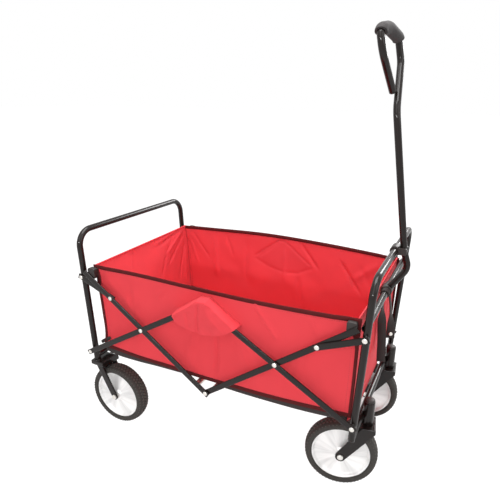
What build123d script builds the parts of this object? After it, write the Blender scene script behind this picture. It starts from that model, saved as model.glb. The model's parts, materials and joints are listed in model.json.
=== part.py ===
"""Folding pull wagon: a fabric tub in a steel scissor frame on four wheels, standing open.

Millimetres. The origin is on the ground under the middle of the bounding box.
X points to the handle end, Y to the left side, Z up. Right-hand pieces have negative Y.
"""
import os
from math import acos, atan, atan2, cos, degrees, hypot, radians, sin

from build123d import *

os.makedirs("parts", exist_ok=True)

# Clearances
running = 0.05
face_gap = 0.3

# Wheels
wheel_radius = 88.0
tyre_depth = 17.2
tyre_width = 40.0
tyre_shoulder = 8.0
tyre_bead = 2.0
rim_recess = 4.0
rim_flange = 6.0
rim_groove = 3.0
rim_dish = 4.5
hub_radius = 15.0
hub_flare = 2.0
hub_recess = 1.0
axle_radius = 4.0
bolt_head_radius = 7.0
bolt_head = 4.0
spacer_ring = 4.0

# Scissor frame, angles in degrees from the ground
frame_room = 57.0
riser_low = 211.4
riser_high = 212.9
riser_angle = 30.43
brace_angle = 35.64
brace_top = 208.0
folded_half_span = 138.0
anchor_rise = 215.0

# Flat bars
bar_depth = 14.0
bar_thick = 4.0
bar_margin = 9.0
bar_corner = 0.8

# Rivets and the spacers behind them
rivet_radius = 3.0
rivet_head_radius = 5.5
rivet_head = 2.0
boss_wall = 1.0

# Tube frames, heights from the low pivots
tube_radius = 8.0
tube_wall = 1.2
frame_half_width = 227.0
frame_lean = 0.05
frame_rise = 335.6
frame_bend = 42.0
rear_foot_drop = 43.0
front_foot_drop = 41.0
rear_cross_drop = 21.0
front_cross_drop = 33.0

# Rear forks
axle_set_in = 49.85
wheel_set_in = 27.0
fork_gap = 2.0
fork_thick = 5.0
fork_width = 18.0
crown_low = 12.0
crown_thick = 20.0
crown_length = 40.0
crown_lead = 6.0
crown_lip = 3.0
crown_arch = 17.0
crown_chamfer = 9.0
socket_depth = 12.0
socket_wall = 2.5

# Front casters
stem_lead = 14.15
stem_set_in = 92.0
stem_drop = 56.0
stem_radius = 6.0
stem_nut = 4.0
housing_radius = 13.0
housing_height = 60.0
caster_trail = 57.0
caster_angle_right = 11.85
caster_angle_left = 6.4
caster_arm_radius = 12.0
cheek_length = 32.0
cheek_height = 10.0
cheek_lead = 3.0

# Handle, drops from the front frame's top bar and from the top of the loop
handle_drop = 102.6
handle_set_back = 5.0
collar_radius = 13.0
collar_half = 14.0
collar_edge = 1.5
knee_lead = 49.15
knee_drop = 41.6
knee_bend = 32.0
knee_rounding = 2.0
pole_lead = 35.35
pole_slope = 0.1545
pole_bend = 60.0
handle_reach = 455.4
loop_start_drop = 144.0
loop_bend = 60.0
elbow_drop = 43.0
elbow_y = 62.0
elbow_bend = 30.0
loop_far_y = 56.0
loop_far_lead = 2.0
loop_far_rise = 4.0
far_bend = 16.0
apex_y = -14.0
apex_twist = 8.0
apex_rise = 17.0
apex_bend = 60.0
loop_near_y = -58.0
loop_twist = 15.0
loop_near_rise = 9.0
near_bend = 16.0
near_elbow_twist = 12.0
near_elbow_drop = 30.0
near_elbow_bend = 60.0
loop_end_drop = 107.0
loop_end_y = 9.5
grip_radius = 13.0
grip_turn = 0.55
clip_wall = 4.0
clip_side = 7.0
clip_play = 0.5
clip_mouth = 40.0

# Fabric tub
tub_end_gap = 15.85
tub_side_gap = 2.0
floor_rise = 5.5
tub_lip = 18.7
cloth = 1.2
side_seam = 0.5
floor_thick = 5.0
floor_seam = 42.0
pocket_half = 92.0
pocket_peak_half = 16.0
pocket_cover = 20.0
pocket_side_drop = 40.0
pocket_low_drop = 72.0
pocket_sag = 12.0
cap_width = 22.0
cap_height = 28.0
rear_cap_lead = 13.0
front_cap_lead = 6.0
cap_lift = 3.5
cap_corner = 5.0
cap_edge = 1.5

# Straps
webbing = 2.0
strap_width = 21.0
strap_twist = 70.0
twist_steps = 6
front_strap_length = 186.0
hang_strap_length = 142.0

# Heights that follow the wheels
pivot_z = 2 * wheel_radius + frame_room
rear_foot_z = pivot_z - rear_foot_drop
front_foot_z = pivot_z - front_foot_drop
rear_cross_z = pivot_z - rear_cross_drop
front_cross_z = pivot_z - front_cross_drop
socket_top_z = rear_foot_z + socket_depth
stem_bottom_z = pivot_z - stem_drop
housing_top_z = stem_bottom_z + housing_height
link_anchor_z = pivot_z + anchor_rise
frame_top_z = pivot_z + frame_rise
handle_pivot_z = frame_top_z - handle_drop
knee_z = frame_top_z - knee_drop
loop_top_z = frame_top_z + handle_reach
loop_start_z = loop_top_z - loop_start_drop
elbow_z = loop_top_z - elbow_drop
near_elbow_z = loop_top_z - near_elbow_drop
loop_end_z = loop_top_z - loop_end_drop
tub_bottom_z = pivot_z + floor_rise

# Lengths that follow the span of the scissor frame, from its middle
lean = atan(frame_lean)
riser = radians(riser_angle)
brace = radians(brace_angle)
riser_length = riser_low + riser_high
half_span = riser_length * cos(riser)
brace_low = riser_high * cos(riser) / cos(brace)
rear_axle_back = half_span - axle_set_in
stem_front = half_span + stem_lead
knee_front = half_span + knee_lead
pole_front = half_span + pole_lead
tub_half_length = half_span - tub_end_gap

# Widths that follow the end frames
rear_wheel_y = frame_half_width - wheel_set_in
stem_y = frame_half_width - stem_set_in
tub_half_width = frame_half_width - tub_side_gap

# Wheel details that follow the wheel's size
rim_radius = wheel_radius - tyre_depth
hub_half = tyre_width / 2 - hub_recess

# Placing along X: the wheels reach furthest back, the knee of the handle furthest forward
rear_reach = rear_axle_back + wheel_radius
front_reach = knee_front + tube_radius - knee_rounding
mid_x = (rear_reach - front_reach) / 2


def facing(point):
    """The matching point on the other end of the wagon."""
    return (2 * mid_x - point[0], point[1])


def along(point, angle, distance):
    """The point at a distance from another one, at an angle in radians in the XZ plane."""
    return (point[0] + distance * cos(angle), point[1] + distance * sin(angle))


def upright_x(end, z):
    """X of an upright's centre line; end is -1 at the rear and 1 at the front."""
    return mid_x + end * (half_span + frame_lean * (z - pivot_z))


# Pivot points of the scissor frame as (x, z)
rear_low = (mid_x - half_span, pivot_z)
rear_mid = along(rear_low, riser, riser_low)
centre_high = (mid_x, pivot_z + riser_length * sin(riser))
centre_low = (mid_x, rear_mid[1] - brace_low * sin(brace))
rear_corner = (rear_mid[0] - brace_top * cos(brace), rear_mid[1] + brace_top * sin(brace))
rear_anchor = (upright_x(-1, link_anchor_z), link_anchor_z)

# The link joins the brace where its length is the same open and folded
riser_folded = acos(folded_half_span / riser_length)
brace_folded = acos(riser_high * cos(riser_folded) / brace_low)
folded_mid = along(rear_low, riser_folded, riser_low)
open_x = rear_anchor[0] - rear_mid[0]
open_z = rear_anchor[1] - rear_mid[1]
shut_x = rear_anchor[0] - folded_mid[0]
shut_z = rear_anchor[1] - folded_mid[1]
open_reach = sin(brace) * open_z - cos(brace) * open_x
shut_reach = sin(brace_folded) * shut_z - cos(brace_folded) * shut_x
reach_change = open_x**2 + open_z**2 - shut_x**2 - shut_z**2
link_offset = reach_change / (2 * (open_reach - shut_reach))
rear_link_end = (rear_mid[0] - link_offset * cos(brace), rear_mid[1] + link_offset * sin(brace))

front_low = facing(rear_low)
front_mid = facing(rear_mid)
front_corner = facing(rear_corner)
front_anchor = facing(rear_anchor)
front_link_end = facing(rear_link_end)

# Heights of the tub's cloth that follow the pivots
tub_top_z = rear_corner[1] + tub_lip
pocket_top_z = centre_high[1] + pocket_cover
pocket_side_z = centre_high[1] - pocket_side_drop
pocket_low_z = centre_high[1] - pocket_low_drop

# Bar layers outside the uprights, counted outwards
upright_face = frame_half_width + tube_radius
layer_pitch = bar_thick + face_gap
layer_in = [upright_face + face_gap + i * layer_pitch for i in range(3)]
layer_out = [depth + bar_thick for depth in layer_in]


def save(builder, name):
    builder.part.label = name
    export_step(builder.part, "parts/" + name + ".step")


def right_plane(depth):
    """Upright plane at a depth to the right; local x and y are X and Z, extrusion goes outward."""
    return Plane(origin=(0, -depth, 0), x_dir=(1, 0, 0), z_dir=(0, -1, 0))


def add_bar(start, end, layer):
    """Flat bar between two pivots with square ends past them."""
    run = end[0] - start[0]
    climb = end[1] - start[1]
    with BuildSketch(right_plane(layer_in[layer])) as outline:
        with Locations(((start[0] + end[0]) / 2, (start[1] + end[1]) / 2)):
            length = hypot(run, climb) + 2 * bar_margin
            Rectangle(length, bar_depth, rotation=degrees(atan2(climb, run)))
    blank = extrude(outline.sketch, amount=bar_thick)
    fillet(blank.edges(), bar_corner)


def drill(points, radius, depth, length):
    """Holes along Y through the right-hand side, from a depth outward."""
    with BuildSketch(right_plane(depth)) as holes:
        with Locations(*points):
            Circle(radius)
    extrude(holes.sketch, amount=length, mode=Mode.SUBTRACT)


def add_rivet(point, inner, outer, inner_head=True, outer_head=True):
    """Rivet along Y through the bars it holds; half of a split one has a single head."""
    x, z = point
    tail = inner
    start = [(0, tail), (rivet_radius, tail)]
    if inner_head:
        tail = inner - face_gap
        start = [
            (0, tail - rivet_head),
            (rivet_head_radius * 0.7, tail - rivet_head),
            (rivet_head_radius, tail - rivet_head / 2),
            (rivet_head_radius, tail),
            (rivet_radius, tail),
        ]
    seat = outer
    finish = [(rivet_radius, seat), (0, seat)]
    if outer_head:
        seat = outer + face_gap
        finish = [
            (rivet_radius, seat),
            (rivet_head_radius, seat),
            (rivet_head_radius, seat + rivet_head / 3),
            (rivet_head_radius * 0.65, seat + rivet_head * 0.85),
            (0, seat + rivet_head),
        ]
    with BuildSketch(Plane(origin=(x, 0, z), x_dir=(1, 0, 0), z_dir=(0, 0, -1))) as profile:
        with BuildLine():
            Polyline(*start, *finish, close=True)
        make_face()
    revolve(profile.sketch, axis=Axis((x, 0, z), (0, -1, 0)))


def add_tube(path, radius, bore):
    """Tube swept along a bent path."""
    with BuildSketch(Plane(origin=path @ 0, z_dir=path % 0)) as ring:
        Circle(radius)
        Circle(bore, mode=Mode.SUBTRACT)
    sweep(ring.sketch, path=path)


def frame_plane(end):
    """Leaning plane of an end frame; local x is Y, local y runs up the uprights."""
    foot = (upright_x(end, pivot_z), 0, pivot_z)
    return Plane(origin=foot, x_dir=(0, 1, 0), z_dir=(cos(lean), 0, -end * sin(lean)))


def frame_path(end, foot_z):
    low = (foot_z - pivot_z) / cos(lean)
    high = (frame_top_z - pivot_z) / cos(lean)
    with BuildLine(frame_plane(end)) as line:
        FilletPolyline(
            (-frame_half_width, low),
            (-frame_half_width, high),
            (frame_half_width, high),
            (frame_half_width, low),
            radius=frame_bend,
        )
    return line.line


def cut_uprights(end):
    """Saddle cuts where the uprights of an end frame pass."""
    centre_z = (frame_top_z + front_foot_z) / 2
    for side in (-1, 1):
        with Locations((upright_x(end, centre_z), side * frame_half_width, centre_z)):
            Cylinder(
                tube_radius + running,
                frame_top_z,
                rotation=(0, end * degrees(lean), 0),
                mode=Mode.SUBTRACT,
            )


def add_cross_tube(x, z, half_length):
    with BuildSketch(Plane(origin=(x, half_length, z), x_dir=(1, 0, 0), z_dir=(0, -1, 0))) as ring:
        Circle(tube_radius)
        Circle(tube_radius - tube_wall, mode=Mode.SUBTRACT)
    extrude(ring.sketch, amount=2 * half_length)


def add_boss(point, layer):
    """Spacer ring from the upright out to a bar layer."""
    outer = layer_in[layer] - face_gap
    with BuildSketch(right_plane(frame_half_width)) as ring:
        with Locations(point):
            Circle(rivet_head_radius + boss_wall)
    extrude(ring.sketch, amount=outer - frame_half_width)


def drill_frame(points, end, radius):
    """Pivot holes through both uprights, clearing the tube bore behind the spacers."""
    with BuildSketch(right_plane(0)) as holes:
        with Locations(*points):
            Circle(radius)
    extrude(holes.sketch, amount=layer_out[2], both=True, mode=Mode.SUBTRACT)
    centre_z = (points[0][1] + points[1][1]) / 2
    for side in (-1, 1):
        with Locations((upright_x(end, centre_z), side * frame_half_width, centre_z)):
            Cylinder(
                tube_radius - tube_wall,
                points[1][1] - points[0][1] + 6 * rivet_head_radius,
                rotation=(0, end * degrees(lean), 0),
                mode=Mode.SUBTRACT,
            )


def roll_axes(turn):
    """Rolling direction and axle direction of a wheel turned about Z, in degrees."""
    angle = radians(turn)
    return (cos(angle), sin(angle), 0), (sin(angle), -cos(angle), 0)


def add_tyre(centre, turn):
    roll, axle = roll_axes(turn)
    with BuildSketch(Plane(origin=centre, x_dir=(0, 0, 1), z_dir=roll)) as profile:
        with Locations((rim_radius + tyre_depth / 2, 0)):
            Rectangle(tyre_depth, tyre_width)
        fillet(profile.vertices().group_by(Axis.X)[-1], tyre_shoulder)
        fillet(profile.vertices().group_by(Axis.X)[0], tyre_bead)
    revolve(profile.sketch, axis=Axis(centre, axle))


def add_rim(centre, turn):
    roll, axle = roll_axes(turn)
    seat = rim_radius - running
    lip = tyre_width / 2 - rim_recess
    bore = axle_radius + running
    half = [
        (bore, hub_half),
        (hub_radius, hub_half),
        (hub_radius + hub_flare, lip - hub_recess),
        (seat - rim_flange - rim_groove, lip - rim_dish),
        (seat - rim_flange, lip),
        (seat, lip),
    ]
    with BuildSketch(Plane(origin=centre, x_dir=(0, 0, 1), z_dir=roll)) as profile:
        with BuildLine():
            Polyline(*half, *[(r, -w) for r, w in reversed(half)], close=True)
        make_face()
    revolve(profile.sketch, axis=Axis(centre, axle))


def add_axle(centre, turn, inner, outer):
    """Bolt through a wheel with a round head outside, a nut inside and two spacer rings."""
    roll, axle = roll_axes(turn)
    spacer = tyre_width / 2 + fork_gap
    with BuildSketch(Plane(origin=centre, x_dir=(0, 0, 1), z_dir=roll)) as profile:
        with BuildLine():
            Polyline(
                (0, -inner - bolt_head),
                (bolt_head_radius, -inner - bolt_head),
                (bolt_head_radius, -inner),
                (axle_radius, -inner),
                (axle_radius, outer),
                (bolt_head_radius, outer),
                (bolt_head_radius, outer + bolt_head * 0.6),
                (bolt_head_radius * 0.6, outer + bolt_head),
                (0, outer + bolt_head),
                close=True,
            )
        make_face()
        for side in (-1, 1):
            with Locations((axle_radius + spacer_ring / 2, side * (spacer + hub_half + face_gap) / 2)):
                Rectangle(spacer_ring, spacer - hub_half - face_gap)
    revolve(profile.sketch, axis=Axis(centre, axle))


# Rear end frame
rear_frame_holes = [rear_low, rear_anchor]
with BuildPart() as rear_u_tube:
    add_tube(frame_path(-1, rear_foot_z + face_gap), tube_radius, tube_radius - tube_wall)
    add_boss(rear_low, 2)
    mirror(rear_u_tube.part, about=Plane.XZ)
    drill_frame(rear_frame_holes, -1, rivet_radius + running)
save(rear_u_tube, "rear_u_tube")

with BuildPart() as rear_cross_tube:
    add_cross_tube(upright_x(-1, rear_cross_z), rear_cross_z, frame_half_width)
    cut_uprights(-1)
save(rear_cross_tube, "rear_cross_tube")

with BuildPart() as rear_pivot_rivets:
    add_rivet(rear_low, frame_half_width - tube_radius, layer_out[2])
    add_rivet(rear_anchor, frame_half_width - tube_radius, layer_out[0])
    mirror(about=Plane.XZ)
save(rear_pivot_rivets, "rear_pivot_rivets")

# Rear forks: two legs and a crown with a socket for the upright
rear_hub = (mid_x - rear_axle_back, wheel_radius)
crown_x = upright_x(-1, rear_foot_z)
leg_top = (crown_x, rear_foot_z - crown_low / 2)
leg_in = rear_wheel_y - tyre_width / 2 - fork_gap - fork_thick
leg_out = rear_wheel_y + tyre_width / 2 + fork_gap
crown_edge = upright_face + crown_lip
crown_under_z = rear_foot_z - crown_low
crown_top_z = crown_under_z + crown_thick
leg_run = rear_hub[0] - leg_top[0]
leg_climb = rear_hub[1] - leg_top[1]
leg_tilt = degrees(atan2(leg_climb, leg_run))
leg_centre = ((rear_hub[0] + leg_top[0]) / 2, (rear_hub[1] + leg_top[1]) / 2)
with BuildPart() as rear_fork_right:
    for depth in (leg_in, leg_out):
        with BuildSketch(right_plane(depth)):
            with Locations(leg_centre):
                SlotCenterToCenter(hypot(leg_run, leg_climb), fork_width, rotation=leg_tilt)
        extrude(amount=fork_thick)
    with BuildSketch(Plane.YZ.offset(crown_x + crown_lead - crown_length / 2)) as crown:
        with BuildLine():
            Polyline(
                (-crown_edge, crown_top_z),
                (-crown_edge, crown_under_z + crown_chamfer),
                (-crown_edge + crown_chamfer, crown_under_z),
                (-leg_in, crown_under_z),
                (-leg_in, crown_top_z),
                close=True,
            )
        make_face()
        fillet(crown.vertices().sort_by(Axis.X)[-2:].sort_by(Axis.Y)[-1], crown_arch)
    extrude(amount=crown_length)
    with BuildSketch(Plane.XY.offset(rear_foot_z)):
        with Locations((crown_x, -frame_half_width)):
            Circle(tube_radius + socket_wall)
    extrude(amount=socket_depth)
    with BuildSketch(right_plane(leg_in)):
        with Locations(rear_hub):
            Circle(axle_radius + running)
    extrude(amount=crown_edge, mode=Mode.SUBTRACT)
    socket_foot = (crown_x, -frame_half_width, rear_foot_z)
    with BuildSketch(Plane(origin=socket_foot, z_dir=(-sin(lean), 0, cos(lean)))):
        Circle(tube_radius + running)
    extrude(amount=socket_top_z, mode=Mode.SUBTRACT)
save(rear_fork_right, "rear_fork_right")

with BuildPart() as rear_fork_left:
    mirror(rear_fork_right.part, about=Plane.XZ)
save(rear_fork_left, "rear_fork_left")

rear_wheel_right = (rear_hub[0], -rear_wheel_y, rear_hub[1])
rear_reach_y = tyre_width / 2 + fork_gap + fork_thick
with BuildPart() as rear_axle_bolts:
    add_axle(rear_wheel_right, 0, rear_reach_y, rear_reach_y)
    mirror(about=Plane.XZ)
save(rear_axle_bolts, "rear_axle_bolts")

with BuildPart() as rear_tyre_right:
    add_tyre(rear_wheel_right, 0)
save(rear_tyre_right, "rear_tyre_right")

with BuildPart() as rear_tyre_left:
    mirror(rear_tyre_right.part, about=Plane.XZ)
save(rear_tyre_left, "rear_tyre_left")

with BuildPart() as rear_rim_right:
    add_rim(rear_wheel_right, 0)
save(rear_rim_right, "rear_rim_right")

with BuildPart() as rear_rim_left:
    mirror(rear_rim_right.part, about=Plane.XZ)
save(rear_rim_left, "rear_rim_left")

# Rear risers: from the lower rear pivots up to the high centre pivots, outermost layer
pivot_hole = rivet_radius + running
with BuildPart() as rear_riser_right:
    add_bar(rear_low, centre_high, 2)
    drill([rear_low, rear_mid, centre_high], pivot_hole, layer_in[2], bar_thick)
save(rear_riser_right, "rear_riser_right")

with BuildPart() as rear_riser_left:
    mirror(rear_riser_right.part, about=Plane.XZ)
save(rear_riser_left, "rear_riser_left")

with BuildPart() as rear_riser_rivets:
    add_rivet(rear_mid, layer_in[1], layer_out[2])
    add_rivet(centre_high, layer_in[1], layer_out[2])
    mirror(about=Plane.XZ)
save(rear_riser_rivets, "rear_riser_rivets")

# Front risers: from the lower front pivots up to the high centre pivots
with BuildPart() as front_riser_right:
    add_bar(front_low, centre_high, 1)
    drill([front_low, front_mid, centre_high], pivot_hole, layer_in[1], bar_thick)
save(front_riser_right, "front_riser_right")

with BuildPart() as front_riser_left:
    mirror(front_riser_right.part, about=Plane.XZ)
save(front_riser_left, "front_riser_left")

with BuildPart() as front_riser_rivets:
    add_rivet(front_mid, layer_in[0], layer_out[1])
    mirror(about=Plane.XZ)
save(front_riser_rivets, "front_riser_rivets")

# Rear braces: from the tub's rear corners down to the low centre pivots
with BuildPart() as rear_brace_right:
    add_bar(rear_corner, centre_low, 1)
    drill([rear_mid, rear_link_end, centre_low], pivot_hole, layer_in[1], bar_thick)
save(rear_brace_right, "rear_brace_right")

with BuildPart() as rear_brace_left:
    mirror(rear_brace_right.part, about=Plane.XZ)
save(rear_brace_left, "rear_brace_left")

# The rivets at the link ends and the low centre pivots are split between the two bars they join
with BuildPart() as rear_brace_rivets:
    add_rivet(rear_link_end, layer_in[1], layer_out[1], inner_head=False)
    add_rivet(centre_low, layer_in[1], layer_out[1], inner_head=False)
    mirror(about=Plane.XZ)
save(rear_brace_rivets, "rear_brace_rivets")

# Front braces, innermost layer
with BuildPart() as front_brace_right:
    add_bar(front_corner, centre_low, 0)
    drill([front_mid, front_link_end, centre_low], pivot_hole, layer_in[0], bar_thick)
save(front_brace_right, "front_brace_right")

with BuildPart() as front_brace_left:
    mirror(front_brace_right.part, about=Plane.XZ)
save(front_brace_left, "front_brace_left")

with BuildPart() as front_brace_rivets:
    add_rivet(front_link_end, layer_in[0], layer_out[0], outer_head=False)
    add_rivet(centre_low, layer_in[0], layer_out[0], outer_head=False)
    mirror(about=Plane.XZ)
save(front_brace_rivets, "front_brace_rivets")

# Tubes under the tub floor, welded between the braces of each end, with the cloth bottom between
floor_low_z = tub_bottom_z - floor_thick / 2
floor_tube_z = floor_low_z - cloth - 2 * face_gap - tube_radius
floor_tube_rise = floor_tube_z - centre_low[1]
rear_floor_at = along(centre_low, radians(180) - brace, floor_tube_rise / sin(brace))
front_floor_at = facing(rear_floor_at)
with BuildPart() as rear_floor_tube:
    add_cross_tube(rear_floor_at[0], rear_floor_at[1], layer_in[1])
save(rear_floor_tube, "rear_floor_tube")

with BuildPart() as front_floor_tube:
    add_cross_tube(front_floor_at[0], front_floor_at[1], layer_in[0])
save(front_floor_tube, "front_floor_tube")

# Corner caps that hold the tub's top corners on the brace ends
cloth_face = tub_half_width + cloth / 2
for name, cap_x, layer in (
    ("rear_corner_caps", rear_corner[0] + rear_cap_lead, 1),
    ("front_corner_caps", front_corner[0] - front_cap_lead, 0),
):
    with BuildPart() as caps:
        with BuildSketch(right_plane(cloth_face + face_gap)):
            with Locations((cap_x, rear_corner[1] + cap_lift)):
                RectangleRounded(cap_width, cap_height, cap_corner)
        extrude(amount=layer_in[layer] - cloth_face - face_gap)
        fillet(caps.faces().sort_by(Axis.Y)[0].edges(), cap_edge)
        mirror(about=Plane.XZ)
    save(caps, name)

# Short links between the uprights and the braces
with BuildPart() as rear_link_right:
    add_bar(rear_anchor, rear_link_end, 0)
    drill([rear_anchor, rear_link_end], pivot_hole, layer_in[0], bar_thick)
save(rear_link_right, "rear_link_right")

with BuildPart() as rear_link_left:
    mirror(rear_link_right.part, about=Plane.XZ)
save(rear_link_left, "rear_link_left")

with BuildPart() as rear_link_rivets:
    add_rivet(rear_link_end, layer_in[0], layer_out[0], outer_head=False)
    mirror(about=Plane.XZ)
save(rear_link_rivets, "rear_link_rivets")

with BuildPart() as front_link_right:
    add_bar(front_anchor, front_link_end, 1)
    drill([front_anchor, front_link_end], pivot_hole, layer_in[1], bar_thick)
save(front_link_right, "front_link_right")

with BuildPart() as front_link_left:
    mirror(front_link_right.part, about=Plane.XZ)
save(front_link_left, "front_link_left")

with BuildPart() as front_link_rivets:
    add_rivet(front_link_end, layer_in[1], layer_out[1], inner_head=False)
    mirror(about=Plane.XZ)
save(front_link_rivets, "front_link_rivets")

# Front end frame
with BuildPart() as front_u_tube:
    add_tube(frame_path(1, front_foot_z), tube_radius, tube_radius - tube_wall)
    add_boss(front_low, 1)
    add_boss(front_anchor, 1)
    mirror(front_u_tube.part, about=Plane.XZ)
    drill_frame([front_low, front_anchor], 1, rivet_radius + running)
save(front_u_tube, "front_u_tube")

with BuildPart() as front_pivot_rivets:
    add_rivet(front_low, frame_half_width - tube_radius, layer_out[1])
    add_rivet(front_anchor, frame_half_width - tube_radius, layer_out[1])
    mirror(about=Plane.XZ)
save(front_pivot_rivets, "front_pivot_rivets")

front_cross_x = upright_x(1, front_cross_z)
with BuildPart() as front_cross_tube:
    add_cross_tube(front_cross_x, front_cross_z, frame_half_width)
    cut_uprights(1)
save(front_cross_tube, "front_cross_tube")

handle_pivot = (upright_x(1, handle_pivot_z) - handle_set_back, handle_pivot_z)
with BuildPart() as handle_cross_tube:
    add_cross_tube(handle_pivot[0], handle_pivot[1], frame_half_width)
    cut_uprights(1)
save(handle_cross_tube, "handle_cross_tube")

# Caster stem housings, saddled onto the front cross tube
stem_x = mid_x + stem_front
with BuildPart() as stem_housings:
    with BuildSketch(Plane.XY.offset(stem_bottom_z + face_gap)):
        with Locations((stem_x, -stem_y), (stem_x, stem_y)):
            Circle(housing_radius)
            Circle(stem_radius + running, mode=Mode.SUBTRACT)
    extrude(amount=housing_top_z - stem_bottom_z - face_gap)
    with Locations((front_cross_x, 0, front_cross_z)):
        Cylinder(tube_radius, 2 * frame_half_width, rotation=(90, 0, 0), mode=Mode.SUBTRACT)
save(stem_housings, "stem_housings")

# Swivelling casters, each at the angle it stands at
arm_in = tyre_width / 2 + fork_gap
arm_out = arm_in + fork_thick
crown_low_z = stem_bottom_z - fork_thick
for name, side, turn in (("right", -1, caster_angle_right), ("left", 1, caster_angle_left)):
    roll, axle = roll_axes(turn)
    stem = (stem_x, side * stem_y, 0)
    hub = (stem_x - caster_trail * roll[0], side * stem_y - caster_trail * roll[1], wheel_radius)
    with BuildPart() as caster_fork:
        for depth in (-arm_out, arm_in):
            arm_plane = Plane(origin=stem, x_dir=roll, z_dir=axle).offset(depth)
            with BuildSketch(arm_plane):
                with Locations((-caster_trail, wheel_radius)):
                    Circle(caster_arm_radius)
                with Locations((cheek_lead, stem_bottom_z - cheek_height / 2)):
                    Rectangle(cheek_length, cheek_height)
                make_hull()
            extrude(amount=fork_thick)
        with BuildSketch(Plane(origin=(stem[0], stem[1], crown_low_z), x_dir=roll, z_dir=(0, 0, 1))):
            with Locations((cheek_lead, 0)):
                Rectangle(cheek_length, 2 * arm_out)
        extrude(amount=fork_thick)
        with BuildSketch(Plane(origin=(stem[0], stem[1], stem_bottom_z))):
            Circle(stem_radius)
        extrude(amount=housing_top_z - stem_bottom_z + fork_thick)
        with BuildSketch(Plane(origin=stem, x_dir=roll, z_dir=axle)):
            with Locations((-caster_trail, wheel_radius)):
                Circle(axle_radius + running)
        extrude(amount=arm_out, both=True, mode=Mode.SUBTRACT)
    save(caster_fork, "caster_fork_" + name)
    with BuildPart() as caster_bolts:
        add_axle(hub, turn, arm_out, arm_out)
        with BuildSketch(Plane(origin=(stem[0], stem[1], housing_top_z + face_gap))) as nut:
            Circle(stem_radius + stem_nut)
            Circle(stem_radius + running, mode=Mode.SUBTRACT)
        extrude(nut.sketch, amount=stem_nut)
    save(caster_bolts, "caster_bolts_" + name)
    with BuildPart() as front_tyre:
        add_tyre(hub, turn)
    save(front_tyre, "front_tyre_" + name)
    with BuildPart() as front_rim:
        add_rim(hub, turn)
    save(front_rim, "front_rim_" + name)

# Handle: collar on its cross tube, bent pole, twisted grip loop ending on the pole
frame_top_x = upright_x(1, frame_top_z)
knee = (mid_x + knee_front, 0, knee_z)
clip_bend = (mid_x + pole_front, 0, frame_top_z)


def pole_x(z):
    return mid_x + pole_front - pole_slope * (z - frame_top_z)


loop_start = (pole_x(loop_start_z), 0, loop_start_z)
elbow = (pole_x(elbow_z) + tube_radius / 2, elbow_y, elbow_z)
loop_far = (pole_x(loop_top_z) + loop_far_lead, loop_far_y, loop_top_z + loop_far_rise)
loop_apex = (pole_x(loop_top_z) - apex_twist, apex_y, loop_top_z + apex_rise)
loop_near = (pole_x(loop_top_z) - loop_twist, loop_near_y, loop_top_z + loop_near_rise)
near_elbow = (pole_x(near_elbow_z) - near_elbow_twist, loop_near_y, near_elbow_z)
loop_end = (pole_x(loop_end_z) - tube_radius, loop_end_y, loop_end_z)
with BuildPart() as handle_collar:
    with BuildSketch(right_plane(0)):
        with Locations(handle_pivot):
            Circle(collar_radius)
            Circle(tube_radius + running, mode=Mode.SUBTRACT)
    extrude(amount=collar_half, both=True)
    fillet(handle_collar.edges().filter_by(GeomType.CIRCLE).group_by(SortBy.RADIUS)[-1], collar_edge)
save(handle_collar, "handle_collar")

with BuildPart() as handle_pole:
    with BuildLine() as pole_line:
        FilletPolyline(
            (handle_pivot[0], 0, handle_pivot[1]),
            knee,
            clip_bend,
            loop_start,
            elbow,
            loop_far,
            loop_apex,
            loop_near,
            near_elbow,
            loop_end,
            radius=[
                knee_bend,
                pole_bend,
                loop_bend,
                elbow_bend,
                far_bend,
                apex_bend,
                near_bend,
                near_elbow_bend,
            ],
        )
    add_tube(pole_line.line, tube_radius, tube_radius - tube_wall)
    with Locations((handle_pivot[0], 0, handle_pivot[1])):
        Cylinder(collar_radius, 2 * collar_half, rotation=(90, 0, 0), mode=Mode.SUBTRACT)
save(handle_pole, "handle_pole")

pole_arcs = pole_line.edges().filter_by(GeomType.CIRCLE)
pole_runs = pole_line.edges().filter_by(GeomType.LINE)
far_middle = (Vector(loop_far) + Vector(loop_apex)) / 2
near_middle = (Vector(loop_apex) + Vector(loop_near)) / 2
with BuildPart() as handle_grip:
    with BuildLine() as grip_line:
        add(pole_arcs.sort_by_distance(loop_far)[0].trim(1 - grip_turn, 1))
        add(pole_runs.sort_by_distance(far_middle)[0])
        add(pole_arcs.sort_by_distance(loop_apex)[0])
        add(pole_runs.sort_by_distance(near_middle)[0])
        add(pole_arcs.sort_by_distance(loop_near)[0].trim(0, grip_turn))
    add_tube(grip_line.wire(), grip_radius, tube_radius + running)
save(handle_grip, "handle_grip")

# Clip on the front frame's top bar that holds the pole upright
clip_half = tube_radius + clip_side
prong_gap = tube_radius + clip_play
with BuildPart() as handle_clip:
    with BuildSketch(right_plane(0)):
        with Locations((frame_top_x, frame_top_z)):
            Circle(tube_radius + clip_wall)
        with Locations(((frame_top_x + clip_bend[0] + tube_radius) / 2, frame_top_z)):
            RectangleRounded(clip_bend[0] + tube_radius - frame_top_x, 2 * tube_radius, clip_wall)
        with Locations((frame_top_x, frame_top_z)):
            Circle(tube_radius + running, mode=Mode.SUBTRACT)
    extrude(amount=clip_half, both=True)
    with BuildSketch(right_plane(0)):
        with Locations((frame_top_x + tube_radius + clip_mouth / 2 - running, frame_top_z)):
            Rectangle(clip_mouth, 6 * tube_radius)
    extrude(amount=prong_gap, both=True, mode=Mode.SUBTRACT)
save(handle_clip, "handle_clip")

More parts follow.
